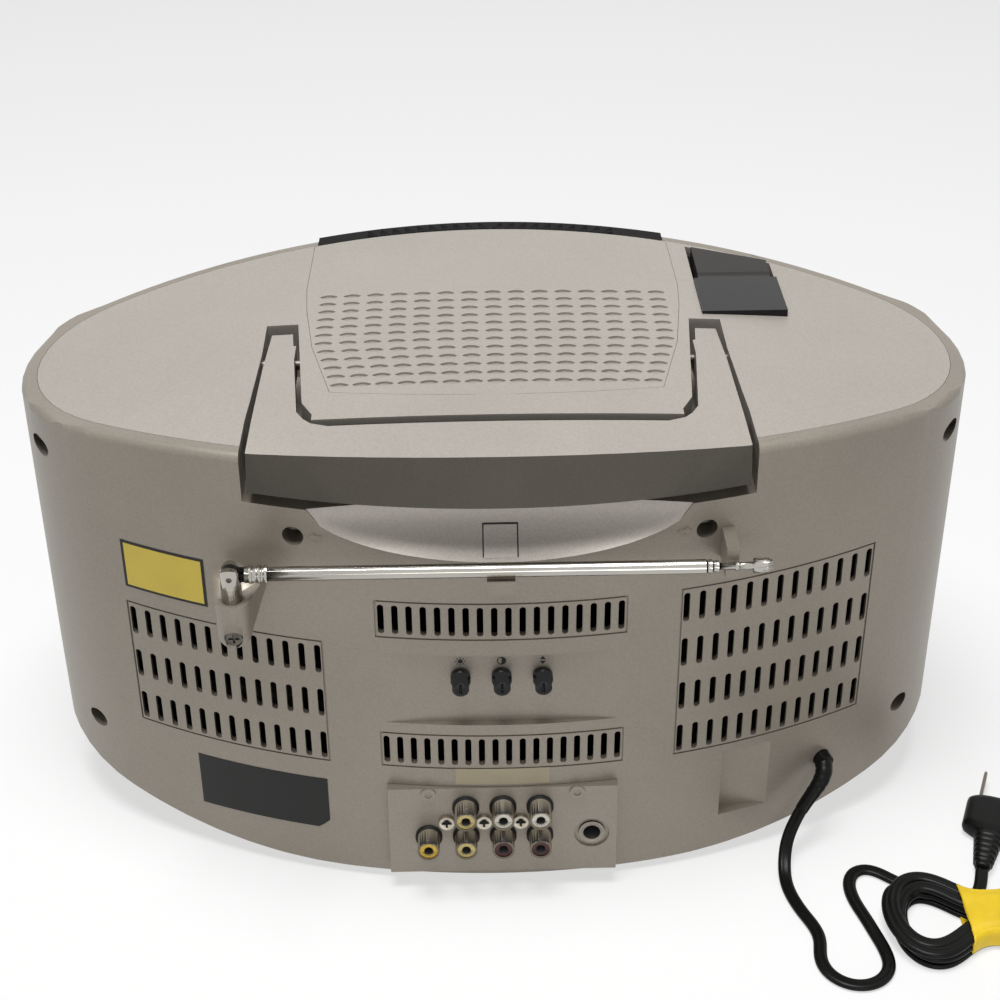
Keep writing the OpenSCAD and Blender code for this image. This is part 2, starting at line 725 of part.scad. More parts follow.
// --- disc tray, its front and the works that carry it
disc_y = -34;
tray_floor = 2;
tray_base = tray_z0 + 2.5;
tray_rear = disc_y + well_r + 8;
tray_start = 9 - front_d;
tray_h = tray_floor + well_depth;
gate_half = 16.5;
module disc_tray() color("#2b2b2c") placed() difference() {
  intersection() {
    span([-tray_half, tray_start - 20, tray_base], [tray_half, tray_rear, tray_base + tray_h]);
    translate([0, front_cy, 0]) cylinder(r = front_R - 4, h = body_h, $fn = fine);
  }
  translate([0, disc_y, tray_base + tray_floor]) cylinder(r = well_r, h = tray_h, $fn = 180);
  translate([0, disc_y, tray_base - 1]) cylinder(r = gate_half, h = tray_h);
  span([-gate_half, disc_y, tray_base - 1], [gate_half, far, tray_base + tray_h + 1]);
}
module tray_front() color("#8f8b84") placed() intersection() {
  span([-tray_front_half, -far, tray_z0], [tray_front_half, 0, tray_z1]);
  difference() {
    translate([0, front_cy, 0]) cylinder(r = front_R + tray_proud, h = body_h, $fn = fine);
    translate([0, front_cy, -1]) cylinder(r = front_R - 4, h = body_h + 2, $fn = fine);
  }
}
works_floor = 41;
works_front = 22 - front_d;
works_rear = 62;
rail_w = 5;
post_r = 3.5;
ledge_lap = 3;
post_x = tray_half + tray_play + rail_w / 2;
turntable_z = tray_base + 0.6;
post_z = belly_z(post_x + post_r) + wall + 0.05;
module disc_mechanism() color("#4d4c49") placed() difference() {
  union() {
    span([-tray_half - rail_w, works_front, works_floor], [tray_half + rail_w, works_rear, works_floor + 2]);
    for (m = [0, 1]) mirror([m, 0, 0]) {
      translate([post_x - rail_w / 2, works_front, works_floor])
        cube([rail_w, works_rear - works_front, tray_z1 - works_floor]);
      span([tray_half - ledge_lap, works_front, works_floor],
        [tray_half + ledge_lap, works_rear, tray_base - tray_play]);
      for (y = [works_front + 18, works_rear - 12]) translate([post_x, y, post_z])
        cylinder(r = post_r, h = works_floor - post_z + eps);
    }
  }
  translate([0, disc_y, 0]) cylinder(r = 1.06, h = 80);
}
module spindle() color("#c9c9c4") placed() translate([0, disc_y, 0]) {
  translate([0, 0, works_floor - 4]) cylinder(r = 1, h = 10);
  translate([0, 0, works_floor + 2.3]) cylinder(r = 14, h = turntable_z - works_floor);
  translate([0, 0, turntable_z + 2]) cylinder(r = 7.4, h = 2.5);
}

// --- front controls
module mic_jacks() color(black) placed() for (x = mic_x) difference() {
  along_y([x, front_y(abs(x) - mic_r) - 0.6, row_z], mic_r, 14);
  along_y([x, front_y(abs(x) - mic_r) - 2, row_z], phone_d / 2, 13);
}
button_travel = 1.5;
module push_button(x) {
  flange_r = button_r + 1;
  cap_y = front_y(max(0, abs(x) - button_r)) - 1.6;
  flange_y = front_y(abs(x) + flange_r, wall) + 0.3;
  along_y([x, cap_y, row_z], button_r, flange_y - cap_y + 1);
  along_y([x, flange_y, row_z], flange_r, 1.6);
}
module back_button() color("#c8c5ba") placed() push_button(button_x0);
module play_button() color("#c8c5ba") placed() push_button(button_x0 + button_step);
module forward_button() color("#c8c5ba") placed() push_button(button_x0 + 2 * button_step);
module stop_button() color("#c8c5ba") placed() push_button(button_x0 + 3 * button_step);
module mode_button() color("#c8c5ba") placed() push_button(button_x0 + 4 * button_step);
module power_button() color("#8c2320") placed() push_button(power_x);
module front_knob(side) {
  at_knob(side) {
    difference() {
      translate([0, 0, 0.6]) cylinder(r = knob_r, h = 8);
      for (a = [0 : 30 : 330]) rotate([0, 0, a]) translate([knob_r + 0.4, 0, 2])
        cylinder(r = 0.9, h = 8, $fn = 16);
    }
    translate([0, 0, -9]) cylinder(r = knob_shaft_r, h = 10);
  }
}
module volume_knob() color("#2a2a2a") placed() front_knob(1);
module echo_knob() color("#2a2a2a") placed() front_knob(-1);

// --- camera pod let into the top cover
hinge_y = -57.6;
hinge_z = body_h - 6;
hinge_r = 5.4;
pod_top = hinge_z + hinge_r;
head_gap = 0.5;
swing_gap = 1;
tub_wall = 1.5;
tub_floor = hinge_z - 9.5;
lens_x = -98;
module pod_slice(z0, z1, y0, y1, grow = 0) {
  intersection() {
    translate([0, 0, z0]) linear_extrude(z1 - z0) pod_plan(grow);
    span([-far, y0, z0], [0, y1, z1]);
  }
}
module hinge_barrel(grow = 0, l = 60) translate([lens_x, hinge_y, hinge_z]) rotate([0, 90, 0])
  cylinder(r = hinge_r + grow, h = l, center = true);
module camera_housing() color(black) placed() difference() {
  pod_slice(tub_floor, pod_top, -far, pod_rear);
  pod_slice(tub_floor + tub_wall, far, -far, hinge_y, -tub_wall);
  pod_slice(hinge_z, far, -far, hinge_y, 1);
  intersection() {
    hinge_barrel(head_gap);
    span([pod_x0 + tub_wall, -far, 0], [pod_x1 - tub_wall, 0, far]);
  }
  span([pod_x0 - 1, hinge_y - 1, hinge_z], [pod_x1 + 1, pod_seam, far]);
  translate([lens_x, hinge_y, hinge_z]) rotate([0, 90, 0]) cylinder(r = 1.22, h = 60, center = true);
}
module camera_head() color("#3a3632") placed() difference() {
  union() {
    intersection() {
      hinge_barrel(0, 80);
      pod_slice(0, 300, -far, pod_rear, -tub_wall - head_gap);
    }
    intersection_for (y = [0, swing_gap])
      translate([0, y, 0]) pod_slice(hinge_z - hinge_r, pod_top, -far, hinge_y, -tub_wall - head_gap);
  }
  translate([lens_x, hinge_y, hinge_z]) rotate([0, 90, 0]) cylinder(r = 1.25, h = 60, center = true);
  at_lens() translate([0, 0, -lens_l]) cylinder(r = lens_r + 0.1, h = 2 * lens_l);
}
// Middle of the head's slanting front face, seen along its normal.
head_in = tub_wall + head_gap;
lens_r = 4;
lens_l = 6;
lens_run = (pod_x1 - head_in - lens_x) / (pod_x1 - pod_x0 - 2 * head_in);
lens_turn = atan((pod_front_out - pod_front_in) / (pod_x1 - pod_x0 - 2 * head_in));
module at_lens() {
  translate([lens_x, pod_front_in + head_in + swing_gap + lens_run * (pod_front_out - pod_front_in), hinge_z])
    rotate([0, 0, -lens_turn]) rotate([90, 0, 0]) children();
}
module camera_lens() color("#20242c") placed() at_lens() translate([0, 0, -lens_l])
  cylinder(r = lens_r, h = lens_l - 0.3);
module camera_pin() color("silver") placed() translate([(pod_x0 + pod_x1) / 2, hinge_y, hinge_z])
  rotate([0, 90, 0]) cylinder(r = 1.2, h = pod_x1 - pod_x0 - 1, center = true);

// --- jack board and what it carries
face_t = 2.5;
collar_r = 5.1;
upper_z = 34.8 - board_zc;
lower_z = 21.5 - board_zc;
camera_x = 28.2;
phone_x = -33.8;
screw_xs = [21.3, 7.2, -6.7];
screw_z = 28.5 - board_zc;
bead_x = 28;
bead_z = 41 - board_zc;
jack_spots = concat([for (i = [1, 0, -1], z = [upper_z, lower_z]) [i * jack_pitch, z]],
  [[camera_x, lower_z]]);
module at_jack(p, back = 0) on_board() translate([p[0], -back, p[1]]) rotate([-90, 0, 0]) children();
module jack_board() color(silver) placed() difference() {
  union() {
    board_slab();
    for (s = [-1, 1]) at_jack([s * bead_x, bead_z], 1) cylinder(r = 2.85, h = 1.8);
  }
  on_board() span([-board_half + 2.5, -far, board_z0 - board_zc + 2.5],
    [board_half - 2.5, -face_t, board_z1 - board_zc - 2.5]);
  for (p = jack_spots) at_jack(p, 20) cylinder(r = jack_d / 2 + 0.05, h = 40);
  for (x = screw_xs) at_jack([x, screw_z], 20) cylinder(r = 1.45, h = 40);
  at_jack([phone_x, lower_z], 20) cylinder(r = 5.05, h = 40);
  at_jack([phone_x, lower_z], 1) cylinder(r = 6.7, h = 5);
  for (s = [-1, 1]) at_jack([s * bead_x, bead_z], -0.3) cylinder(r = 1.4, h = 5);
}
shell_t = 0.75;
insert_r = jack_d / 2 - shell_t - 0.02;
module rca_shells() color(chrome) placed() for (p = jack_spots) difference() {
  union() {
    at_jack(p, face_t + 4) cylinder(r = jack_d / 2, h = face_t + 4 + jack_l);
    at_jack(p, 0) cylinder(r = collar_r, h = 1.2);
  }
  at_jack(p, face_t + 5) cylinder(r = jack_d / 2 - shell_t, h = 30);
}
module rca_insert(p) difference() {
  at_jack(p, face_t + 6) cylinder(r = insert_r, h = face_t + 6 + jack_l - 0.5);
  at_jack(p, 0) cylinder(r = 1.65, h = 30);
}
module rca_insert_yellow() color("#e8c820") placed() rca_insert(jack_spots[6]);
module rca_inserts_beige() color("#d8c070") placed() for (k = [0, 1]) rca_insert(jack_spots[k]);
module rca_inserts_white() color("#e8e6e0") placed() for (k = [2, 4]) rca_insert(jack_spots[k]);
module rca_inserts_red() color("#7a1618") placed() for (k = [3, 5]) rca_insert(jack_spots[k]);
module jack_screws() color("#55524d") placed()
  for (x = screw_xs) at_jack([x, screw_z], -0.02) cross_screw(2.9, 1.35, 8);
module headphone_jack() color(black) placed() difference() {
  at_jack([phone_x, lower_z], 16) cylinder(r = 5, h = 15.8);
  at_jack([phone_x, lower_z], 14.5) cylinder(r = phone_d / 2, h = 20);
}

// --- trimmer knobs
module trim_knob(i) difference() {
  union() {
    along_y([i * trim_pitch, trim_y + 0.3, trim_z], 3.65, 3);
    along_y([i * trim_pitch, trim_y + 0.3, trim_z], 3.05, 8);
    along_y([i * trim_pitch, trim_y - 9, trim_z], trim_shaft_r, 10);
  }
  translate([i * trim_pitch, trim_y + 8.3, trim_z]) cube([0.9, 2, 4.6], center = true);
}
module bright_knob() color(black) placed() trim_knob(1);
module contrast_knob() color(black) placed() trim_knob(0);
module hold_knob() color(black) placed() trim_knob(-1);

// --- aerial
bracket_x0 = 80;
bracket_x1 = 103;
bracket_low = shelf_z - 26.5;
nose_low = shelf_z - 16.5;
base_r = 3.65;
base_pin_r = 2.4;
base_pin_l = 9;
base_z = shelf_z + 0.1;
collar_z = shelf_z + 5;
tongue_t = 2.2;
nose_slope = 32;
module antenna_bracket() color(silver) placed() difference() {
  translate([0, 0, bracket_low - 8]) linear_extrude(shelf_z - bracket_low + 8) {
    translate([ant_x, ant_y - 0.2]) circle(nose_r);
    polygon([[bracket_x0, 70], [bracket_x1, 70], [bracket_x1 - 0.6, 86], [ant_x + nose_r, ant_y],
      [ant_x - nose_r, ant_y], [bracket_x0 + 3, 90]]);
  }
  translate([0, 0, bracket_low - 10]) linear_extrude(60) oval(-0.05);
  translate([ant_x, ant_y + nose_r, nose_low]) rotate([-nose_slope, 0, 0])
    translate([-20, -60, -40]) cube([40, 80, 40]);
  translate([ant_x, ant_y, shelf_z - base_pin_l - 0.3]) cylinder(r = base_pin_r + 0.05, h = 20);
  along_y([ant_x, ant_y + nose_r - 3.2, nose_low + 3.4], 3.3, 10);
  along_y([ant_x, ant_y - 2, nose_low + 3.4], 1, 10);
}
module antenna_screw() color("#55524d") placed()
  translate([ant_x, ant_y + nose_r - 3.15, nose_low + 3.4]) rotate([-90, 0, 0]) cross_screw(2.9, 0.9, 0.1);
module antenna_base() color(chrome) placed() difference() {
  union() {
    translate([ant_x, ant_y, shelf_z - base_pin_l]) cylinder(r = base_pin_r, h = base_pin_l + 1);
    translate([ant_x, ant_y, base_z]) cylinder(r = base_r, h = ant_z - base_z);
    intersection() {
      translate([ant_x, ant_y, ant_z - 1]) cylinder(r = base_r, h = 10);
      translate([ant_x, ant_y, ant_z]) rotate([90, 0, 0]) cylinder(r = base_r, h = 20, center = true);
    }
  }
  span([ant_x - 10, ant_y - tongue_t / 2 - 0.1, collar_z],
    [ant_x + 10, ant_y + tongue_t / 2 + 0.1, ant_z + 20]);
  translate([ant_x, ant_y, ant_z]) rotate([90, 0, 0]) cylinder(r = 1.02, h = 20, center = true);
}
module antenna_rivet() color("silver") placed() translate([ant_x, ant_y, ant_z]) rotate([90, 0, 0])
  cylinder(r = 1, h = 2 * base_r - 0.4, center = true);
elbow_x1 = ant_x - 5.2;
elbow_x0 = 80.3;
tube_r1 = ant_d / 2;
tube_wall = 0.3;
tube_r2 = tube_r1 - tube_wall - tube_play;
tube_r3 = tube_r2 - tube_wall - tube_play;
rod_r = tube_r3 - 0.45 - tube_play;
tube_end = -70.5;
tip_x = -93.4;
module along_x(x0, x1, r) translate([x0, ant_y, ant_z]) rotate([0, 90, 0]) cylinder(r = r, h = x1 - x0);
module antenna_elbow() color("#2c2b2a") placed() difference() {
  union() {
    translate([ant_x, ant_y, ant_z]) rotate([90, 0, 0]) cylinder(r = 3.2, h = tongue_t, center = true);
    span([elbow_x1 - 1, ant_y - tongue_t / 2, ant_z - 2.4], [ant_x, ant_y + tongue_t / 2, ant_z + 2.4]);
    along_x(elbow_x0, elbow_x1, tube_r1 + 0.4);
    for (x = [elbow_x0, elbow_x0 + 2.2, elbow_x0 + 5.2]) along_x(x, x + 1, tube_r1 + 0.7);
  }
  translate([ant_x, ant_y, ant_z]) rotate([90, 0, 0]) cylinder(r = 1.04, h = 20, center = true);
  along_x(elbow_x0 - 1, elbow_x1 - 1.2, tube_r1);
}
module antenna_tube_1() color(chrome) placed() difference() {
  along_x(tube_end, elbow_x1 - 1.4, tube_r1);
  along_x(tube_end - 1, elbow_x1 - 2.4, tube_r1 - tube_wall);
}
module antenna_tube_2() color(chrome) placed() difference() {
  union() {
    along_x(tube_end - 0.5, elbow_x1 - 4, tube_r2);
    along_x(tube_end - 2.1, tube_end - 0.5, tube_r2 + 0.2);
  }
  along_x(tube_end - 3, elbow_x1 - 5, tube_r2 - tube_wall);
}
module antenna_tube_3() color(chrome) placed() difference() {
  union() {
    along_x(tube_end - 2.5, elbow_x1 - 6, tube_r3);
    along_x(tube_end - 4.4, tube_end - 2.5, tube_r3 + 0.2);
  }
  along_x(tube_end - 5, elbow_x1 - 7, tube_r3 - 0.45);
}
module antenna_rod() color(chrome) placed() {
  along_x(tip_x + 3, elbow_x1 - 8, rod_r);
  along_x(-81.8, -80.6, rod_r + 0.35);
  along_x(tip_x + 1, tip_x + 6.4, 2.65);
  along_x(tip_x, tip_x + 1 + eps, 2.1);
}

// --- inside
board_top = 9;
module main_board() color("#2f6b3c") placed() {
  span([-58, -64, board_top], [58, 78, board_top + 1.6]);
  for (s = [-1, 1], y = [-58, 72]) translate([s * 52, y, wall]) cylinder(r = 3, h = board_top - wall + eps);
  for (x = [-30, 10], y = [-30, 20]) span([x, y, board_top + 1.5], [x + 22, y + 14, board_top + 6]);
  for (x = [-42, 42]) translate([x, 60, board_top + 1.5]) cylinder(r = 7, h = 18);
}
core_x = 96;
core_half = 20;
core_z = belly_z(core_x + core_half) + wall + 0.4;
module power_transformer() color("#7d7a72") placed() translate([core_x, 20, core_z]) {
  translate([-core_half, -14, 0]) cube([2 * core_half, 28, 36]);
  translate([-14, -22, 6]) cube([28, 44, 24]);
}

// --- mains cord, its outlet, its hank and its plug
cord_sides = 10;
hank_h = 10;
// Route of the cord, in the body's own measures: out of the wall, down to the floor and to the hank.
gland_in = 6;
gland_lip = 0.6;
boot_l = 4;
boot_end_r = 3;
cord_from = 4;
route = [[-125.9, 69.1, 30.7], [-127, 72.9, 30], [-126, 76.6, 27], [-122.2, 79.6, 22.6], [-117.6, 82.6, 17.2],
  [-113.9, 85.8, 11.4], [-111, 89.6, 6], [-109.7, 94.6, 1.6], [-109.1, 100.6, -0.9], [-109.4, 107, -1.5],
  [-110.9, 114, -1.5], [-113.2, 120.8, -1.5], [-116.2, 127.8, -1.5], [-117.3, 135, -1.5], [-115.6, 143, -1.5],
  [-117.4, 151.5, -1.5], [-125, 157.5, -1.5], [-134.5, 156.5, -1.5], [-140.3, 149.5, -1.5],
  [-140.2, 140.5, -1.5], [-138.2, 132, -1.5], [-136, 123, -1.5], [-133.6, 114.5, -1.5], [-133, 106, -1.5],
  [-135.4, 99.5, -1.5], [-140.6, 96.8, -1.5], [-146, 99.2, -1.5], [-150.7, 103.9, -1.5]];
plug_route = [[-181, 116.4, -1.5], [-183, 109, -1.2], [-185.3, 102, 0.4]];
module cord_gland() color(black) placed() {
  at_cord() translate([0, 0, -gland_in]) cylinder(r = gland_r, h = gland_in + gland_lip);
  at_cord() cylinder(r1 = gland_r, r2 = boot_end_r, h = boot_l);
}
function bend(p, i, t) = let (a = p[max(0, i - 1)], b = p[i], c = p[i + 1], d = p[min(len(p) - 1, i + 2)])
  0.5 * (2 * b + (c - a) * t + (2 * a - 5 * b + 4 * c - d) * t * t + (3 * b - a - 3 * c + d) * t * t * t);
function curve(p, steps) =
  [for (i = [0 : len(p) - 2], k = [0 : steps - 1]) bend(p, i, k / steps), p[len(p) - 1]];
function unit(v) = v / norm(v);
// Round tube along a line of points.
module sweep(p, r) {
  n = len(p);
  rings = [for (i = [0 : n - 1]) let (t = unit(p[min(n - 1, i + 1)] - p[max(0, i - 1)]),
    s = unit(cross(t, abs(t[2]) > 0.9 ? [0, 1, 0] : [0, 0, 1])), u = cross(s, t))
    for (k = [0 : cord_sides - 1]) p[i] + r *
      (cos(k * 360 / cord_sides) * s + sin(k * 360 / cord_sides) * u)];
  polyhedron(points = rings, faces = concat(
    [[for (k = [0 : cord_sides - 1]) k]],
    [for (i = [0 : n - 2], k = [0 : cord_sides - 1]) let (j = (k + 1) % cord_sides)
      [i * cord_sides + k, (i + 1) * cord_sides + k, (i + 1) * cord_sides + j, i * cord_sides + j]],
    [[for (k = [cord_sides - 1 : -1 : 0]) (n - 1) * cord_sides + k]]));
}
module mains_cord() color("#141414") placed() {
  sweep([for (i = [cord_from : 3 * (len(route) - 1)]) curve(route, 3)[i]], cord_d / 2);
  sweep(curve(plug_route, 3), cord_d / 2);
}

// Hank, seen from above: two round folds, drawn in at the tie.
hank_y = 128.5;
fold_left = -158;
fold_right = -222;
fold_run = 16.6;
fold_half = 23.1;
tie_x = -181;
tie_w = 18;
tie_t = 1.6;
waist_half = 10.4;
function ease(a, b, t) = a + (b - a) * (1 - cos(180 * t)) / 2;
function hank_half(x) = x > tie_x ? ease(fold_half, waist_half, (fold_left - x) / (fold_left - tie_x))
  : ease(waist_half, fold_half, (tie_x - x) / (tie_x - fold_right));
module hank_plan(grow = 0) {
  side = [for (i = [0 : 16]) let (x = fold_left + (fold_right - fold_left) * i / 16)
    [x, hank_half(x) + grow]];
  translate([0, hank_y]) polygon(concat(
    side,
    [for (a = [10 : 10 : 170]) [fold_right, 0] + (fold_half + grow) * [-sin(a), cos(a)]],
    [for (i = [16 : -1 : 0]) [side[i][0], -side[i][1]]],
    [for (a = [10 : 10 : 170]) [fold_left + (fold_run + grow) * sin(a), -(fold_half + grow) * cos(a)]]));
}
module cord_hank() color("#141414") placed() translate([0, 0, -foot_h]) linear_extrude(hank_h) hank_plan();
module cord_tie() color("#f0d020") placed() difference() {
  intersection() {
    translate([0, 0, -foot_h]) linear_extrude(hank_h + tie_t) hank_plan(tie_t);
    span([tie_x - tie_w / 2, 0, -foot_h], [tie_x + tie_w / 2, far, far]);
  }
  translate([0, 0, -foot_h - 1]) linear_extrude(hank_h + 1.05) hank_plan(0.05);
  span([tie_x - tie_w, 0, -foot_h - 1], [tie_x + tie_w, hank_y, 2]);
}
plug_at = [-185.4, 101.6, 0.5];
plug_turn = 21.7;
plug_half = 4.5;
plug_l = 20;
grip_l = 20;
module mains_plug() color("#141414") placed() translate(plug_at)
  rotate([0, 0, -plug_turn]) rotate([90, 0, 0]) {
  translate([0, 0, 0.3]) cylinder(r1 = cord_d / 2 + 0.6, r2 = plug_half, h = grip_l - 0.3);
  translate([0, 0, grip_l]) linear_extrude(plug_l) {
    square([14, 2 * plug_half], center = true);
    for (s = [-1, 1]) translate([s * 7, 0]) circle(plug_half);
  }
  for (s = [-1, 1]) translate([s * 6.35 - 0.75, -3.2, grip_l + plug_l - eps]) cube([1.5, 6.4, 17]);
}

rear_shell();
front_shell();
top_plate();
louvre_panel();
handle();
handle_pins();
case_screws();
feet();
monitor_bezel();
picture_tube();
speaker_drivers();
speaker_grilles();
disc_tray();
tray_front();
disc_mechanism();
spindle();
mic_jacks();
back_button();
play_button();
forward_button();
stop_button();
mode_button();
power_button();
volume_knob();
echo_knob();
camera_housing();
camera_head();
camera_lens();
camera_pin();
jack_board();
rca_shells();
rca_insert_yellow();
rca_inserts_beige();
rca_inserts_white();
rca_inserts_red();
jack_screws();
headphone_jack();
bright_knob();
contrast_knob();
hold_knob();
antenna_bracket();
antenna_screw();
antenna_base();
antenna_rivet();
antenna_elbow();
antenna_tube_1();
antenna_tube_2();
antenna_tube_3();
antenna_rod();
main_board();
power_transformer();
cord_gland();
mains_cord();
cord_hank();
cord_tie();
mains_plug();
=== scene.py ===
import json
import math

import bmesh
import bpy
import numpy as np
from mathutils import Matrix

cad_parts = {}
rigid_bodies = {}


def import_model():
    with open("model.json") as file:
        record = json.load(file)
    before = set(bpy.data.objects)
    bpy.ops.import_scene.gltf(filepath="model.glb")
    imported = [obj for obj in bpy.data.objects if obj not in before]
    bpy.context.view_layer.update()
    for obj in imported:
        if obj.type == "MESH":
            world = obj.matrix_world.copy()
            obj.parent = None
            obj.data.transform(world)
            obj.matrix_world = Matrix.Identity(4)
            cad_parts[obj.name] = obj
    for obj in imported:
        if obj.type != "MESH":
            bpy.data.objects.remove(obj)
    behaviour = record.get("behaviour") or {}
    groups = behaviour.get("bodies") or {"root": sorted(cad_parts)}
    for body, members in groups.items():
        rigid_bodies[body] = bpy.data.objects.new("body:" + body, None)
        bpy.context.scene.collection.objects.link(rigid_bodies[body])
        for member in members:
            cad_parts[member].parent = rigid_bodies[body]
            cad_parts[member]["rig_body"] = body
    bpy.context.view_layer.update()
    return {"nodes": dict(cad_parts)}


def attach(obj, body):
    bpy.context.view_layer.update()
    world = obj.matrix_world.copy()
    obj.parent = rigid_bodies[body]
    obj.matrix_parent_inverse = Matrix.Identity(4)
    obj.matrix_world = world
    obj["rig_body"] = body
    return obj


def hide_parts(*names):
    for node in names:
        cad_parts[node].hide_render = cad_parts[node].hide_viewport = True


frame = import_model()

# Table-top karaoke machine seen from behind: a silver oval case with a crowned cover, a
# fold-down handle, a telescopic aerial, a jack board and a flat twin mains cord.
# Measures are millimetres from the case's lowest point and middle line; SHIFT and MM turn
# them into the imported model's metres.
MM = 0.001
SHIFT = np.array([0.0, 1.1, 4.0])
FLOOR_Z = -4.0

# --- the case's own curves, as in the part
HALF_W, REAR_D, FRONT_D, END_R, BODY_H = 180.0, 98.0, 110.0, 67.0, 182.5
CROWN_DROP, BELLY_FLAT, BELLY_RISE, RIM_R = 8.6, 60.0, 27.3, 3.2
END_X = HALF_W - END_R


def arc_radius(depth):
    """Radius of the long arc that runs into the round ends: (e^2 + d^2 - r^2) / (2 (d - r))."""
    return (END_X**2 + depth**2 - END_R**2) / (2 * (depth - END_R))


REAR_R, FRONT_R = arc_radius(REAR_D), arc_radius(FRONT_D)
REAR_CY, FRONT_CY = REAR_D - REAR_R, FRONT_R - FRONT_D
REAR_HALF = math.asin(END_X / (REAR_R - END_R))
FRONT_HALF = math.asin(END_X / (FRONT_R - END_R))
CROWN_R = (HALF_W**2 + CROWN_DROP**2) / (2 * CROWN_DROP)
BELLY_R = ((HALF_W - BELLY_FLAT) ** 2 + BELLY_RISE**2) / (2 * BELLY_RISE)
SCOOP_Y, SCOOP_Z, SCOOP_R, SCOOP_ARC = REAR_D + 10, BODY_H - 16.5, 24.0, 450.0


def rear_y(x):
    """Rear wall: y = centre + square root of (R^2 - x^2)."""
    return REAR_CY + np.sqrt(REAR_R**2 - np.asarray(x, float) ** 2)


def unit(v):
    """Vectors at length one."""
    v = np.asarray(v, float)
    return v / np.maximum(np.linalg.norm(v, axis=-1, keepdims=True), 1e-12)


# --- camera: fitted to the photograph, 1000 x 1000
CAMERA_AT = (9.413, 630.003, 495.592)
CAMERA_PITCH, CAMERA_YAW, CAMERA_ROLL = 0.549755, -0.017425, -0.008022
FOCAL_PX, FRAME_PX, SENSOR = 1837.93, 1000, 36.0
CLIP_NEAR, CLIP_FAR = 0.01, 20


def place_camera():
    """Camera matrix: columns right, up and back, from pitch, yaw and roll."""
    sp, cp = math.sin(CAMERA_PITCH), math.cos(CAMERA_PITCH)
    sy, cy = math.sin(CAMERA_YAW), math.cos(CAMERA_YAW)
    ahead = np.array([sy * cp, -cy * cp, -sp])
    right = np.array([-cy, -sy, 0.0])
    up = np.cross(right, ahead)
    c, s = math.cos(CAMERA_ROLL), math.sin(CAMERA_ROLL)
    right, up = right * c + up * s, up * c - right * s
    cam = bpy.data.objects.new("camera", bpy.data.cameras.new("camera"))
    bpy.context.scene.collection.objects.link(cam)
    at = (np.array(CAMERA_AT) + SHIFT) * MM
    m = np.eye(4)
    m[:3, 0], m[:3, 1], m[:3, 2], m[:3, 3] = right, up, -ahead, at
    cam.matrix_world = Matrix(m.tolist())
    cam.data.sensor_width = SENSOR
    cam.data.lens = FOCAL_PX / FRAME_PX * SENSOR
    cam.data.clip_start, cam.data.clip_end = CLIP_NEAR, CLIP_FAR
    bpy.context.scene.camera = cam


place_camera()
scene = bpy.context.scene
scene.view_settings.view_transform = "Standard"


# --- materials ------------------------------------------------------------------------
def linear(hex_colour):
    """sRGB hex to linear light: c / 12.92 below 0.04045, otherwise ((c + 0.055) / 1.055)^2.4."""
    c = np.array([int(hex_colour[i : i + 2], 16) for i in (1, 3, 5)]) / 255
    c = np.where(c <= 0.04045, c / 12.92, ((c + 0.055) / 1.055) ** 2.4)
    return (*c.tolist(), 1.0)


def add(tree, kind, links=None, **settings):
    """One node with its settings. links gives its inputs: a value, or (node, output)."""
    n = tree.nodes.new(kind)
    for k, v in settings.items():
        setattr(n, k, v)
    for k, v in (links or {}).items():
        if isinstance(v, tuple) and len(v) == 2 and hasattr(v[0], "outputs"):
            tree.links.new(v[0].outputs[v[1]], n.inputs[k])
        else:
            n.inputs[k].default_value = v
    return n


def ramp(tree, source, stops):
    """Colour ramp with (position, hex) stops over the source."""
    r = add(tree, "ShaderNodeValToRGB", {"Fac": source})
    e = r.color_ramp.elements
    while len(e) < len(stops):
        e.new(0.5)
    for el, (at, colour) in zip(e, stops):
        el.position, el.color = at, linear(colour)
    return r


def blank(name):
    """An empty material with its output and one Principled shader."""
    mat = bpy.data.materials.new(name)
    mat.use_nodes = True
    t = mat.node_tree
    t.nodes.clear()
    out = add(t, "ShaderNodeOutputMaterial")
    sh = add(t, "ShaderNodeBsdfPrincipled")
    t.links.new(sh.outputs["BSDF"], out.inputs["Surface"])
    return mat, t, sh


# Where in the noise a finish changes tone and gloss, the flakes' lightest and darkest tone, the noises'
# detail and roughness, and the bump's depth as a share of the grain's size.
TONE_AT, GLOSS_AT, FLAKE_TONES = (0.32, 0.68), (0.3, 0.7), (0.90, 1.10)
CLOUD_NOISE, GRAIN_NOISE, BUMP_SHARE, PER_METRE = (3.0, 0.55), (2.0, 0.6), 0.2, 1000


def noise(tree, place, size_mm, look):
    """Noise of a size in mm over the object, look being its detail and roughness."""
    return add(tree, "ShaderNodeTexNoise", {"Vector": (place, "Object"), "Scale": PER_METRE / size_mm,
                                            "Detail": look[0], "Roughness": look[1]})


def flecked(tree, place, tone, flake_mm):
    """The tone times the flakes' own tone."""
    flakes = add(tree, "ShaderNodeTexVoronoi", {"Vector": (place, "Object"), "Scale": PER_METRE / flake_mm})
    speck = add(tree, "ShaderNodeMapRange", {"Value": (flakes, "Color"), "From Min": 0.0, "From Max": 1.0,
                                             "To Min": FLAKE_TONES[0], "To Max": FLAKE_TONES[1]})
    mixed = add(tree, "ShaderNodeMix", {"Factor": 1.0}, data_type="RGBA", blend_type="MULTIPLY")
    tree.links.new(tone.outputs["Color"], mixed.inputs["A"])
    tree.links.new(speck.outputs["Result"], mixed.inputs["B"])
    return mixed.outputs["Result"]


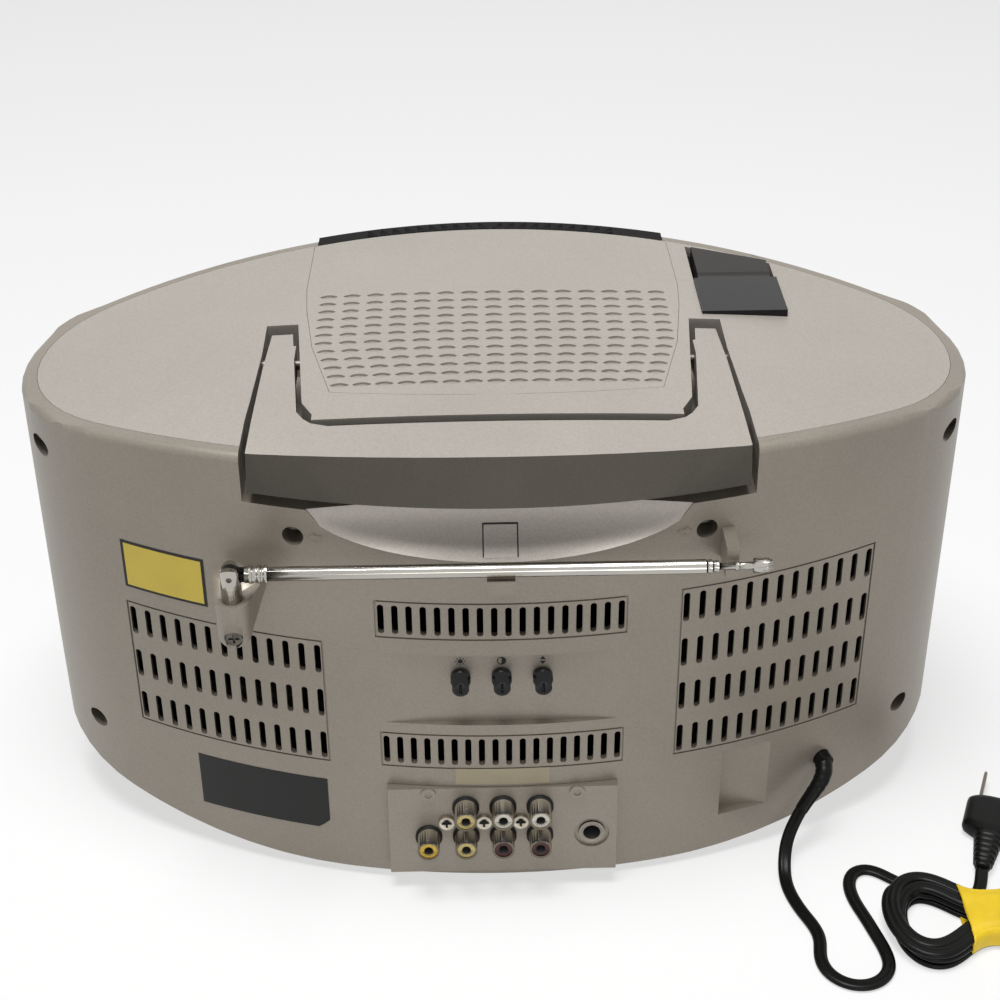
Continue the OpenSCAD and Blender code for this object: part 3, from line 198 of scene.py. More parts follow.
def finish(name, base, shade, rough, metal=0.0, ior=1.5, coat=0.0, grain_mm=0.6, grain=0.1,
           cloud_mm=60.0, rough_swing=0.04, flake_mm=0.0, spec=0.5, coat_rough=0.1):
    """One hard finish: two close tones in soft clouds, a fine grain in the bump, uneven gloss."""
    mat, t, sh = blank(name)
    co = add(t, "ShaderNodeTexCoord")
    clouds = noise(t, co, cloud_mm, CLOUD_NOISE)
    tone = ramp(t, (clouds, "Fac"), [(TONE_AT[0], shade), (TONE_AT[1], base)])
    fine = noise(t, co, grain_mm, GRAIN_NOISE)
    colour = flecked(t, co, tone, flake_mm) if flake_mm else tone.outputs["Color"]
    t.links.new(colour, sh.inputs["Base Color"])
    gloss = add(t, "ShaderNodeMapRange", {"Value": (clouds, "Fac"), "From Min": GLOSS_AT[0],
                                          "From Max": GLOSS_AT[1], "To Min": rough - rough_swing,
                                          "To Max": rough + rough_swing})
    t.links.new(gloss.outputs["Result"], sh.inputs["Roughness"])
    bump = add(t, "ShaderNodeBump", {"Height": (fine, "Fac"), "Strength": grain,
                                     "Distance": grain_mm * MM * BUMP_SHARE})
    t.links.new(bump.outputs["Normal"], sh.inputs["Normal"])
    sh.inputs["Metallic"].default_value = metal
    if metal < 1:
        sh.inputs["IOR"].default_value = ior
        sh.inputs["Specular IOR Level"].default_value = spec
    sh.inputs["Coat Weight"].default_value = coat
    sh.inputs["Coat Roughness"].default_value = coat_rough
    return mat


M = {}
# Injection-moulded ABS sprayed with silver lacquer: a soft metallic sheen, flakes drawn at 0.5 mm.
M["silver_lacquer"] = finish("silver_lacquer_on_ABS", "#8F877C", "#867F74", 0.40, metal=0.4, coat=0.1,
                             coat_rough=0.35, grain_mm=0.7, grain=0.12, flake_mm=0.5, cloud_mm=90)
# The cover's lacquer is paler and more matt. It is also laid on the rear shell's scoop as a painted highlight.
M["cover_lacquer"] = finish("pale_silver_lacquer_on_ABS", "#A7A199", "#9F9991", 0.46, metal=0.25,
                            coat=0.06, coat_rough=0.4, grain_mm=0.7, grain=0.10, flake_mm=0.5,
                            cloud_mm=110)
# The bar's rear face: the same lacquer, darker, as painted shade on the side that turns to the rear.
M["bar_painted_shade"] = finish("silver_lacquer_darkened_as_painted_shade", "#4A463E", "#433F38", 0.44, metal=0.35, spec=0.35,
                       grain_mm=0.7, grain=0.12, flake_mm=0.5, cloud_mm=70)
# Bezel round the tube: black, satin.
M["bezel_black"] = finish("satin_black_ABS", "#100F0F", "#0C0B0B", 0.5, ior=1.25, spec=0.2,
                          grain_mm=0.5, grain=0.1)
# Polished black ABS: deep black, sharp highlights with a faint orange peel.
M["black_gloss"] = finish("polished_black_ABS", "#0D0C0C", "#0A0909", 0.16, spec=0.28, grain_mm=1.2,
                          grain=0.03)
# Spark-eroded black ABS: dull and even. It is also laid in the phono inserts' bores as painted shade.
M["black_matte"] = finish("textured_black_ABS", "#141313", "#100F0F", 0.5, spec=0.25, grain_mm=0.35,
                          grain=0.35)
# Grey-brown ABS of the camera's slab.
M["dark_slab"] = finish("textured_brown_grey_ABS", "#262321", "#211E1C", 0.45, spec=0.25,
                        grain_mm=0.35, grain=0.3)
# Chrome plate on brass: nearly a mirror, with faint polishing unevenness.
M["chrome"] = finish("chrome_plate", "#B9B6AF", "#A7A49D", 0.14, metal=1.0, grain_mm=2.0, grain=0.02,
                     rough_swing=0.03)
# Turned and nickelled phono barrels: a little duller than the aerial.
M["nickel"] = finish("nickel_plate", "#7F7768", "#675F51", 0.26, metal=1.0, grain_mm=0.8, grain=0.02)
# Blackened steel of the cross-head screws.
M["steel"] = finish("blackened_steel", "#6A6760", "#4C4943", 0.38, metal=1.0, grain_mm=0.3, grain=0.2,
                    cloud_mm=3)
# Moulded polythene inserts of the jacks: waxy and plain.
M["yellow"] = finish("yellow_moulded_insert", "#D8B53A", "#CBA833", 0.35, grain_mm=0.5, grain=0.05,
                     cloud_mm=5)
M["beige"] = finish("beige_moulded_insert", "#CDBB7A", "#C2AF6E", 0.38, grain_mm=0.5, grain=0.05,
                    cloud_mm=5)
M["white"] = finish("white_moulded_insert", "#DEDACE", "#D2CDC0", 0.36, grain_mm=0.5, grain=0.05,
                    cloud_mm=5)
M["red"] = finish("red_moulded_insert", "#430F0D", "#390C0A", 0.35, grain_mm=0.5, grain=0.05, cloud_mm=5)
# Soft PVC of the flat twin lead: satin black with fine drawing lines.
M["cord"] = finish("soft_black_PVC", "#0B0B0A", "#070706", 0.34, ior=1.4, spec=0.2, grain_mm=0.8,
                   grain=0.12, cloud_mm=14)
# Woven hook strap dyed yellow.
M["strap"] = finish("yellow_strap", "#E9C81C", "#DDB912", 0.5, grain_mm=0.9, grain=0.5, cloud_mm=9)
# Zinc plate of the board's cross-head screws.
M["zinc"] = finish("zinc_plate", "#C9C2B2", "#B4AD9D", 0.34, metal=1.0, grain_mm=0.3, grain=0.15,
                   cloud_mm=3)
# Printed foils: satin yellow, black and pale beige.
M["yellow_foil"] = finish("satin_yellow_foil", "#C9B23E", "#BFA937", 0.4, grain_mm=0.8, grain=0.06,
                          cloud_mm=25)
M["black_foil"] = finish("satin_black_foil", "#141312", "#100F0E", 0.4, spec=0.3, grain_mm=0.8,
                         grain=0.06, cloud_mm=25)
M["beige_foil"] = finish("pale_beige_foil", "#A3997F", "#9B9178", 0.5, grain_mm=0.8, grain=0.06,
                         cloud_mm=25)
# Black screen print, matt and thin. It is also laid in the jack screws' cross recesses as painted shade.
M["print"] = finish("black_screen_print", "#1E1C1A", "#181615", 0.6, spec=0.3, grain_mm=0.4, grain=0.1,
                    cloud_mm=6)
# Rubber feet.
M["rubber"] = finish("foot_rubber", "#222120", "#1B1A19", 0.75, grain_mm=0.5, grain=0.3)
# Leaded glass of the picture tube: grey-green, very smooth.
M["glass"] = finish("grey_tube_glass", "#2E3532", "#29302D", 0.06, coat=0.6, coat_rough=0.03,
                    grain_mm=4, grain=0.0, cloud_mm=150)
# Coated camera lens.
M["lens"] = finish("coated_lens_glass", "#141A24", "#10141C", 0.04, coat=0.8, coat_rough=0.02,
                   grain_mm=4, grain=0.0)
# Green lacquer of the circuit board.
M["board"] = finish("green_board_lacquer", "#2E6A3B", "#27603A", 0.4, grain_mm=1.0, grain=0.2,
                    cloud_mm=12)
# Laminated core and tape of the transformer.
M["core"] = finish("varnished_core_steel", "#7D7A72", "#66635B", 0.45, metal=0.6, grain_mm=0.5,
                   grain=0.3, cloud_mm=8)
# Dark paper cone and pressed basket of the speakers.
M["cone"] = finish("black_paper_cone", "#2A2928", "#201F1E", 0.8, grain_mm=0.9, grain=0.5)

NODE_FINISH = {
    "rear_shell": "silver_lacquer", "front_shell": "silver_lacquer", "top_plate": "cover_lacquer",
    "louvre_panel": "cover_lacquer", "handle": "cover_lacquer", "handle_pins": "steel",
    "case_screws": "steel", "feet": "rubber", "monitor_bezel": "bezel_black", "picture_tube": "glass",
    "speaker_drivers": "cone", "speaker_grilles": "black_matte", "disc_tray": "black_matte",
    "tray_front": "silver_lacquer", "disc_mechanism": "dark_slab", "spindle": "steel",
    "mic_jacks": "black_matte", "back_button": "cover_lacquer", "play_button": "cover_lacquer",
    "forward_button": "cover_lacquer", "stop_button": "cover_lacquer", "mode_button": "cover_lacquer",
    "power_button": "red", "volume_knob": "black_matte", "echo_knob": "black_matte",
    "camera_housing": "black_gloss", "camera_head": "dark_slab", "camera_lens": "lens",
    "camera_pin": "steel", "jack_board": "silver_lacquer", "rca_shells": "nickel",
    "rca_insert_yellow": "yellow", "rca_inserts_beige": "beige", "rca_inserts_white": "white",
    "rca_inserts_red": "red", "jack_screws": "zinc", "headphone_jack": "black_matte",
    "bright_knob": "black_gloss", "contrast_knob": "black_gloss", "hold_knob": "black_gloss",
    "antenna_bracket": "silver_lacquer", "antenna_screw": "steel", "antenna_base": "chrome",
    "antenna_rivet": "steel", "antenna_elbow": "black_gloss", "antenna_tube_1": "chrome",
    "antenna_tube_2": "chrome", "antenna_tube_3": "chrome", "antenna_rod": "chrome",
    "main_board": "board", "power_transformer": "core", "cord_gland": "cord", "mains_cord": "cord",
    "cord_hank": "cord", "cord_tie": "strap", "mains_plug": "cord",
}


# --- making meshes -------------------------------------------------------------------------
def piece(name, verts_mm, faces, finish_name, body="case", slot="silver_case", smooth=True):
    """A mesh object at the origin, its points given in the case's own millimetres."""
    mesh = bpy.data.meshes.new(name)
    pts = (np.asarray(verts_mm, float).reshape(-1, 3) + SHIFT) * MM
    mesh.from_pydata(pts.tolist(), [], faces)
    mesh.update()
    if smooth:
        mesh.shade_smooth()
    o = bpy.data.objects.new(name, mesh)
    scene.collection.objects.link(o)
    mesh.materials.append(M[finish_name])
    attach(o, body)
    return o


def grid_faces(rows, cols, wrap=False, start=0, flip=False):
    """Quads of a grid of rows x cols points; wrap closes the columns into rings."""
    i, j = np.meshgrid(np.arange(rows - 1), np.arange(cols if wrap else cols - 1), indexing="ij")
    a = start + i * cols + j
    b = start + i * cols + (j + 1) % cols
    q = np.stack([a, b, b + cols, a + cols], axis=-1).reshape(-1, 4)
    return (q[:, ::-1] if flip else q).tolist()


def capped(rings, first, last):
    """Rings of points joined by quads, each end closed by a fan about its middle point."""
    n, k = rings.shape[:2]
    j = np.arange(k)
    faces = grid_faces(n, k, wrap=True)
    faces += np.stack([np.full(k, n * k), (j + 1) % k, j], axis=1).tolist()
    faces += np.stack([np.full(k, n * k + 1), (n - 1) * k + j, (n - 1) * k + (j + 1) % k], axis=1).tolist()
    return np.vstack([rings.reshape(-1, 3), first, last]), faces


def tube(line, section, axes):
    """Rings of a section carried along a line: point + s * across + t * up."""
    across, up = axes
    rings = line[:, None, :] + section[..., 0:1] * across[:, None, :] + section[..., 1:2] * up[:, None, :]
    return capped(rings, line[0], line[-1])


def turn(n):
    """Angles of n points round a circle."""
    return np.linspace(0, 2 * math.pi, n, endpoint=False)


def squarish(v, power):
    """A sine or cosine bent so that a circle becomes a rounded box: sign(v) |v|^power."""
    return np.sign(v) * np.abs(v) ** power


def join(*parts):
    """Several (points, faces) as one."""
    pts, faces, at = [], [], 0
    for p, f in parts:
        p = np.asarray(p, float).reshape(-1, 3)
        faces += [[v + at for v in q] for q in f]
        pts.append(p)
        at += len(p)
    return np.vstack(pts), faces


def outward(o):
    """Turns a closed mesh's faces outwards."""
    bm = bmesh.new()
    bm.from_mesh(o.data)
    bmesh.ops.recalc_face_normals(bm, faces=bm.faces)
    bm.to_mesh(o.data)
    bm.free()
    return o


# --- cord ------------------------------------------------------------------------------
CORD_W, CORD_HALF_T, CORD_STEP, CORD_PASSES, CORD_POINTS = 5.0, 1.45, 1.6, 8, 20
LYING = FLOOR_Z + CORD_HALF_T
# Section of the lead: bend of its flat sides, and the dip between the cores as a share and a half width.
SIDE_POWER, DIP, DIP_HALF = 0.75, 0.30, 0.65
# Route from the outlet down the wall, then flat over the floor to the hank; tail from the hank to the plug.
FLAT_Z, CURVE_STEPS = -1.5, 12
ROUTE = [[-125.9, 69.1, 30.7], [-127, 72.9, 30], [-126, 76.6, 27], [-122.2, 79.6, 22.6], [-117.6, 82.6, 17.2],
         [-113.9, 85.8, 11.4], [-111, 89.6, 6], [-109.7, 94.6, 1.6], [-109.1, 100.6, -0.9]]
ROUTE += [[x, y, FLAT_Z] for x, y in (
    (-109.4, 107), (-110.9, 114), (-113.2, 120.8), (-116.2, 127.8), (-117.3, 135), (-115.6, 143),
    (-117.4, 151.5), (-125, 157.5), (-134.5, 156.5), (-140.3, 149.5), (-140.2, 140.5), (-138.2, 132),
    (-136, 123), (-133.6, 114.5), (-133, 106), (-135.4, 99.5), (-140.6, 96.8), (-146, 99.2), (-150.7, 103.9))]
PLUG_AT = [-185.4, 101.6, 0.5]
TAIL = [[-172, 115.0, FLAT_Z], [-177.4, 115.6, FLAT_Z], [-181.6, 112.9, -1.4], [-183.7, 107.6, -0.6], PLUG_AT]
# The route sinks by SINK on its way from SINK_FROM down over SINK_OVER, the tail's start by TAIL_SINK.
SINK, SINK_FROM, SINK_OVER, TAIL_SINK = 1.05, 6, 7.5, 1.0
# Hank: folds, waist at the tie, two lanes and three layers of turns, and the points of a turn.
HANK_Y, TIE_X, FOLD_LEFT, FOLD_RIGHT = 128.5, -181.0, -158.0, -222.0
FOLD_HALF, WAIST_HALF, LANE, LEFT_RUN, LEFT_LANE, LAYER = 20.5, 7.8, 5.1, 14.0, 4.6, 2.95
HANK_LANES, HANK_LAYERS = [0, 1, 1, 0, 1, 0], [0, 0, 1, 1, 2, 2]
SIDE_POINTS, BEND_POINTS, HANK_START, HANK_END = 26, 22, 6, -4
# A turn changes lane from this share of its course over that one, and strays by up to STRAY.
CHANGE_FROM, CHANGE_OVER, STRAY, STRAY_LIFT, WAVES, SEED = 0.72, 0.26, 0.35, 0.25, 4, 7


def ease(a, b, t):
    """From a to b along half a cosine."""
    return a + (b - a) * (1 - np.cos(math.pi * np.clip(t, 0, 1))) / 2


def hank_side(x, fold, waist):
    """Half width of a turn at x: wide at the folds, drawn in at the tie."""
    left = ease(fold, waist, (FOLD_LEFT - x) / (FOLD_LEFT - TIE_X))
    right = ease(waist, fold, (TIE_X - x) / (TIE_X - FOLD_RIGHT))
    return np.where(x > TIE_X, left, right)


def hank_turn(lane):
    """One turn from the left fold's low side: low run, right half circle, high run, left half ellipse."""
    fold, waist, run = FOLD_HALF - LANE * lane, WAIST_HALF - LANE * lane, LEFT_RUN - LEFT_LANE * lane
    x = np.linspace(FOLD_LEFT, FOLD_RIGHT, SIDE_POINTS)[:, None]
    low = np.hstack([x, -hank_side(x, fold, waist)])
    a = np.linspace(-90, -270, BEND_POINTS)[1:-1, None] * math.pi / 180
    right = np.hstack([FOLD_RIGHT + fold * np.cos(a), fold * np.sin(a)])
    b = np.linspace(90, -90, BEND_POINTS)[1:-1, None] * math.pi / 180
    left = np.hstack([FOLD_LEFT + run * np.cos(b), fold * np.sin(b)])
    return np.vstack([low, right, low[::-1] * [1, -1], left])


def hank_line():
    """Turns that change lane and layer in the left fold, with small seeded strays from the neat course."""
    outer, inner = hank_turn(0.0), hank_turn(1.0)
    t = np.arange(len(outer)) / len(outer)
    change = ease(0, 1, (t - CHANGE_FROM) / CHANGE_OVER)
    rng = np.random.default_rng(SEED)
    out = []
    for k, (lane, layer) in enumerate(zip(HANK_LANES, HANK_LAYERS)):
        after = min(k + 1, len(HANK_LANES) - 1)
        lane = lane + (HANK_LANES[after] - lane) * change
        layer = layer + (HANK_LAYERS[after] - layer) * change
        xy = outer * (1 - lane[:, None]) + inner * lane[:, None]
        w = rng.uniform(-STRAY, STRAY, WAVES)
        stray = sum(w[i] * np.sin(2 * math.pi * (i + 1) * t) for i in range(WAVES))
        z = LYING + LAYER * layer + STRAY_LIFT * np.abs(stray)
        out.append(np.column_stack([xy[:, 0] + stray, xy[:, 1] + HANK_Y, z]))
    return np.vstack(out)


def through(points, steps):
    """Catmull-Rom curve through the points."""
    p = np.asarray(points, float)
    p = np.vstack([2 * p[0] - p[1], p, 2 * p[-1] - p[-2]])
    t = np.linspace(0, 1, steps, endpoint=False)[:, None]
    parts = [0.5 * (2 * b + (c - a) * t + (2 * a - 5 * b + 4 * c - d) * t**2
                    + (3 * b - a - 3 * c + d) * t**3)
             for a, b, c, d in zip(p[:-3], p[1:-2], p[2:-1], p[3:])]
    return np.vstack(parts + [p[-2:-1]])


def along(line):
    """Length from the line's start to each of its points."""
    return np.concatenate([[0], np.cumsum(np.linalg.norm(np.diff(line, axis=0), axis=1))])


def at_lengths(line, s):
    """The line's points at the lengths s."""
    at = along(line)
    return np.column_stack([np.interp(s, at, line[:, k]) for k in range(3)])


def evenly(line, step):
    """The line again with points a step apart."""
    whole = along(line)[-1]
    return at_lengths(line, np.linspace(0, whole, int(whole / step) + 1))


def settled(line, times):
    """Soft smoothing of a line that keeps its ends."""
    q = line.copy()
    for _ in range(times):
        q[1:-1] = 0.25 * q[:-2] + 0.5 * q[1:-1] + 0.25 * q[2:]
    return q


def cord_line():
    """Whole centreline: route, hank and tail, lowered so that the flat lead lies on the floor."""
    route, tail = through(ROUTE, CURVE_STEPS), through(TAIL, CURVE_STEPS)
    route[:, 2] -= SINK * np.clip((SINK_FROM - route[:, 2]) / SINK_OVER, 0, 1)
    tail[:, 2] = np.maximum(tail[:, 2] - TAIL_SINK * (1 - np.linspace(0, 1, len(tail))), LYING)
    whole = np.vstack([route, hank_line()[HANK_START:HANK_END], tail])
    return settled(evenly(whole, CORD_STEP), CORD_PASSES)


def frames(line):
    """Directions across (level) and up for each point of a line."""
    t = unit(np.gradient(line, axis=0))
    across = unit(np.cross(t, [0, 0, 1.0]))
    return across, np.cross(across, t)


def twin_section():
    """Flat twin lead: an oval whose flat sides dip between the two cores."""
    a = turn(CORD_POINTS)
    x = CORD_W / 2 * np.cos(a)
    y = CORD_HALF_T * squarish(np.sin(a), SIDE_POWER) * (1 - DIP * np.exp(-((x / DIP_HALF) ** 2)))
    return np.column_stack([x, y])


line = cord_line()
cord = piece("flat_twin_cord", *tube(line, twin_section()[None], frames(line)), "cord", slot="cord_black")
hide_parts("mains_cord", "cord_hank")


# Strain relief: length, half widths and half heights at the outlet and at the lead, and its ridges, which end
# at a share of the length.
BOOT_L, BOOT_HALF_W, BOOT_HALF_T, BOOT_RINGS, BOOT_POINTS = 24, (3.4, 2.75), (3.35, 1.75), 40, 24
RIDGE, RIDGE_PITCH, RIDGE_END = 0.12, 3.0, 0.75


def strain_relief():
    """Boot on the cord's first part: rings that shrink from the outlet's size to the lead's."""
    s = np.linspace(0, BOOT_L, BOOT_RINGS)
    mid = at_lengths(line, s)
    a, t = turn(BOOT_POINTS), (s / BOOT_L)[:, None]
    ridge = RIDGE * (np.sin(s * 2 * math.pi / RIDGE_PITCH)[:, None] > 0) * (t < RIDGE_END)
    half_w = BOOT_HALF_W[0] * (1 - t) + BOOT_HALF_W[1] * t + ridge
    half_t = BOOT_HALF_T[0] * (1 - t) + BOOT_HALF_T[1] * t + ridge
    return tube(mid, np.stack([half_w * np.cos(a), half_t * np.sin(a)], axis=-1), frames(mid))


boot = piece("strain_relief", *strain_relief(), "cord", slot="cord_black")


# Strap: half length, half widths at a fold and at the waist with the slack, height, gap to the floor, and
# the swells over the leads and the waves along it.
TIE_HALF, TIE_FOLD, TIE_WAIST, TIE_SLACK, TIE_TOP, TIE_GAP = 9, 23.1, 10.4, 1.1, 5.6, 0.65
TIE_POWER, TIE_POINTS, BAND_T = 0.42, 48, 0.0011
SWELL, SWELL_TURNS, WAVE, WAVE_MM = 0.7, 6.2, 0.35, 3.1


def strap():
    """Band round the waist: a rounded box section at each x, a little fuller over each lead."""
    x = np.linspace(TIE_X - TIE_HALF, TIE_X + TIE_HALF, 2 * TIE_HALF + 1)
    a = turn(TIE_POINTS)
    half = hank_side(x, TIE_FOLD, TIE_WAIST)[:, None] + TIE_SLACK
    c, s = np.cos(a), np.sin(a)
    y = HANK_Y + half * squarish(c, TIE_POWER)
    top = TIE_TOP + SWELL * np.abs(np.sin(SWELL_TURNS * c)) + WAVE * np.cos((x[:, None] - TIE_X) / WAVE_MM)
    z = np.where(s > 0, top * squarish(s, TIE_POWER), (FLOOR_Z + TIE_GAP) * squarish(-s, TIE_POWER))
    pts = np.stack([np.broadcast_to(x[:, None], y.shape), y, np.broadcast_to(z, y.shape)], axis=-1)
    return pts.reshape(-1, 3), grid_faces(len(x), len(a), wrap=True)


tie = outward(piece("yellow_strap", *strap(), "strap", slot="yellow"))
sol = tie.modifiers.new("thickness", "SOLIDIFY")
sol.thickness, sol.offset = BAND_T, -1
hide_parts("cord_tie")

# Plug: its turn, the lengths of grip and whole, half sizes to the side and up, ribs, the step to the body,
# and how far tip and mouth draw in.
PLUG_TURN, GRIP_L, PLUG_L, PLUG_POINTS, PLUG_POWER = math.radians(21.7), 19, 40, 36, 0.75
GRIP_HALF, GRIP_GAIN, BODY_HALF = (2.9, 2.4), (2.4, 1.7), (11.2, 4.45)
RIB, RIB_PITCH, RIB_SHIFT, RIB_LEVEL, RIB_FROM, RIB_TO = 0.55, 2.9, 2, 0.15, 3, 18
STEP_FROM, STEP_OVER, TIP, TIP_L, MOUTH, MOUTH_RISE = 18.5, 4.5, 0.16, 2, 0.75, 0.4
# Flat pins: stations along the plug with their share of the section, distance from the middle, half sizes.
PIN_AT, PIN_SHARE = np.array([39.5, 54, 55.6, 56.5, 56.9]), np.array([1, 1, 0.93, 0.75, 0.4])
PIN_OFF, PIN_HALF, PIN_POINTS, PIN_POWER = 6.35, (0.75, 3.15), 20, 0.4


def plug_space(a, w, v):
    """Points of the plug: a along its axis, w to the side, v up."""
    ahead = np.array([-math.sin(PLUG_TURN), -math.cos(PLUG_TURN), 0])
    side = np.array([math.cos(PLUG_TURN), -math.sin(PLUG_TURN), 0])
    return np.array(PLUG_AT) + a[..., None] * ahead + w[..., None] * side + v[..., None] * np.array([0, 0, 1])


def plug_body():
    """Grip and body: a superellipse whose half width and height follow the length, with ribs on the grip."""
    a = np.array([0, 0.6, *np.linspace(1.2, GRIP_L, 60), *np.linspace(GRIP_L + 0.6, PLUG_L - 1.4, 16),
                  PLUG_L - 0.5, PLUG_L])
    wave = np.sin((a - RIB_SHIFT) * 2 * math.pi / RIB_PITCH)
    rib = RIB * (wave > RIB_LEVEL) * (a > RIB_FROM) * (a < RIB_TO)
    body = np.clip((a - STEP_FROM) / STEP_OVER, 0, 1)
    swell = body * body * (3 - 2 * body)
    half = [(grip + (a / GRIP_L) * gain + rib) * (1 - swell) + full * swell
            for grip, gain, full in zip(GRIP_HALF, GRIP_GAIN, BODY_HALF)]
    end = 1 - TIP * np.clip((a - (PLUG_L - TIP_L)) / TIP_L, 0, 1) ** 2
    start = np.clip(MOUTH + a * MOUTH_RISE, 0, 1)
    u = turn(PLUG_POINTS)
    across = (half[0] * end * start)[:, None] * squarish(np.cos(u), PLUG_POWER)
    up = (np.minimum(half[1], BODY_HALF[1]) * end * start)[:, None] * squarish(np.sin(u), PLUG_POWER)
    rings = plug_space(np.broadcast_to(a[:, None], across.shape), across, up)
    none = np.array(0.0)
    return capped(rings, plug_space(none, none, none), plug_space(np.array(PLUG_L), none, none))


def blade(side):
    """Flat pin: a thin superellipse section carried forward, its tip drawn in."""
    u = turn(PIN_POINTS)
    across = side * PIN_OFF + PIN_HALF[0] * PIN_SHARE[:, None] * squarish(np.cos(u), PIN_POWER)
    up = PIN_HALF[1] * PIN_SHARE[:, None] * squarish(np.sin(u), PIN_POWER)
    rings = plug_space(np.broadcast_to(PIN_AT[:, None], across.shape), across, up)
    n, k = across.shape
    return rings.reshape(-1, 3), grid_faces(n, k, wrap=True) + [list(range((n - 1) * k, n * k))]


plug = outward(piece("mains_plug_body", *plug_body(), "cord", slot="cord_black"))
pins = outward(piece("mains_plug_pins", *join(blade(-1), blade(1)), "nickel", slot="steel", smooth=False))
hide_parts("mains_plug")


# --- CAD nodes: finishes, and smooth shading of the round ones -----------------------------
# Distances in metres within which points and edges are merged.
DOUBLE, DEGENERATE = 2e-6, 1e-6
# Case faces: how near a curve's normal has to lie, rim and belly and scoop fields, and the rim's rounding.
FACE_NEAR, RIM_NEAR = math.cos(math.radians(7)), math.cos(math.radians(16))
RIM_SLACK, RIM_OUTSIDE, INNER, BELLY_TOP = 0.05, 0.3, 1, 60
SCOOP_HALF, SCOOP_FRONT, SCOOP_FOOT, SCOOP_FIELD = 70, 70, 130, (139, 166)
SCOOP_FACING, SCOOP_OFF = 0.05, 0.35
FLAT_ANGLE, WALL_NEAR, CROWN_NEAR, RIM_STEPS, SHARP_ANGLE = 0.25, 0.05, 0.12, 5, 32


def merged(node):
    """A copy of a node's mesh with its doubles merged, as an object of its own that replaces the node."""
    src = frame["nodes"][node]
    mesh = src.data.copy()
    bm = bmesh.new()
    bm.from_mesh(mesh)
    bmesh.ops.remove_doubles(bm, verts=bm.verts, dist=DOUBLE)
    bmesh.ops.dissolve_degenerate(bm, edges=bm.edges, dist=DEGENERATE)
    bm.to_mesh(mesh)
    bm.free()
    mesh.shade_smooth()
    o = bpy.data.objects.new(node + "_skin", mesh)
    scene.collection.objects.link(o)
    mesh.materials.clear()
    mesh.materials.append(M[NODE_FINISH[node]])
    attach(o, src["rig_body"])
    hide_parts(node)
    return o


def depths(p):
    """Distance inside the outer wall and below the crown, and the wall's outward normal, at points p."""
    x, y, z = p.T
    ax = np.abs(x)
    rear = (np.arctan2(ax, y - REAR_CY) < REAR_HALF) & (y > 0)
    front = (np.arctan2(ax, FRONT_CY - y) < FRONT_HALF) & (y < 0)
    out = np.stack([x - np.where(rear | front, 0, np.sign(x) * END_X),
                    y - np.where(rear, REAR_CY, np.where(front, FRONT_CY, 0))], -1)
    dist = np.linalg.norm(out, axis=1)
    inset = np.where(rear, REAR_R, np.where(front, FRONT_R, END_R)) - dist
    deep = CROWN_R - np.hypot(x, z - (BODY_H - CROWN_R))
    return inset, deep, np.column_stack([out / dist[:, None], 0 * x])


def case_normals(p, n):
    """Normals of the case at points p: of wall, crown, belly, scoop and rim, the one nearest to the face's own
    normal n is taken where it lies within a few degrees of it."""
    x, y, z = p.T
    ax = np.abs(x)
    inset, deep, wall = depths(p)
    crown = unit(np.column_stack([x, 0 * x, z - (BODY_H - CROWN_R)]))
    rim = unit(np.clip(RIM_R - inset, 0, None)[:, None] * wall
               + np.clip(RIM_R - deep, 0, None)[:, None] * crown)
    belly = unit(np.column_stack([np.sign(x) * np.clip(ax - BELLY_FLAT, 0, None), 0 * x, z - BELLY_R]))
    rad = np.column_stack([0 * x, y - SCOOP_Y, z - SCOOP_Z])
    slope = -x / np.sqrt(SCOOP_ARC**2 - x**2)
    scoop = unit(np.column_stack([slope, 0 * x, 0 * x]) - unit(rad))
    on_rim = (np.maximum(inset, deep) < RIM_R + RIM_SLACK) & (np.minimum(inset, deep) > -RIM_OUTSIDE)
    in_belly = z < BELLY_TOP
    tries = [(wall, ~on_rim | (deep > RIM_R)), (-wall, inset > INNER), (crown, ~on_rim | (inset > RIM_R)),
             (-crown, deep > INNER), (belly, in_belly), (-belly, in_belly),
             (scoop, (ax < SCOOP_HALF) & (y > SCOOP_FRONT) & (z > SCOOP_FOOT)), (rim, on_rim)]
    best, score = n.copy(), np.full(len(p), FACE_NEAR)
    for curve, where in tries:
        dot = (curve * n).sum(1)
        take = where & (dot > (RIM_NEAR if curve is rim else score))
        best[take], score[take] = curve[take], dot[take]
    return best


def round_rim(mesh):
    """Rounds the case's upper rim: its edges, where wall and crown meet, get an arc of RIM_R."""
    bm = bmesh.new()
    bm.from_mesh(mesh)
    bmesh.ops.dissolve_limit(bm, angle_limit=math.radians(FLAT_ANGLE), verts=bm.verts, edges=bm.edges)
    co = np.array([v.co[:] for v in bm.verts]) / MM - SHIFT
    inset, deep = depths(co)[:2]
    at_rim = (np.abs(inset) < WALL_NEAR) & (np.abs(deep) < CROWN_NEAR)
    edges = [e for e in bm.edges if at_rim[e.verts[0].index] and at_rim[e.verts[1].index]]
    bmesh.ops.bevel(bm, geom=edges, offset=RIM_R * MM, offset_type="OFFSET", segments=RIM_STEPS,
                    profile=0.5, affect="EDGES", clamp_overlap=False, loop_slide=True)
    bm.to_mesh(mesh)
    bm.free()


def field(items, name, kind, width=1):
    """One attribute of a mesh's vertices, loops or faces as an array."""
    out = np.zeros(len(items) * width, kind)
    items.foreach_get(name, out)
    return out.reshape(-1, width) if width > 1 else out


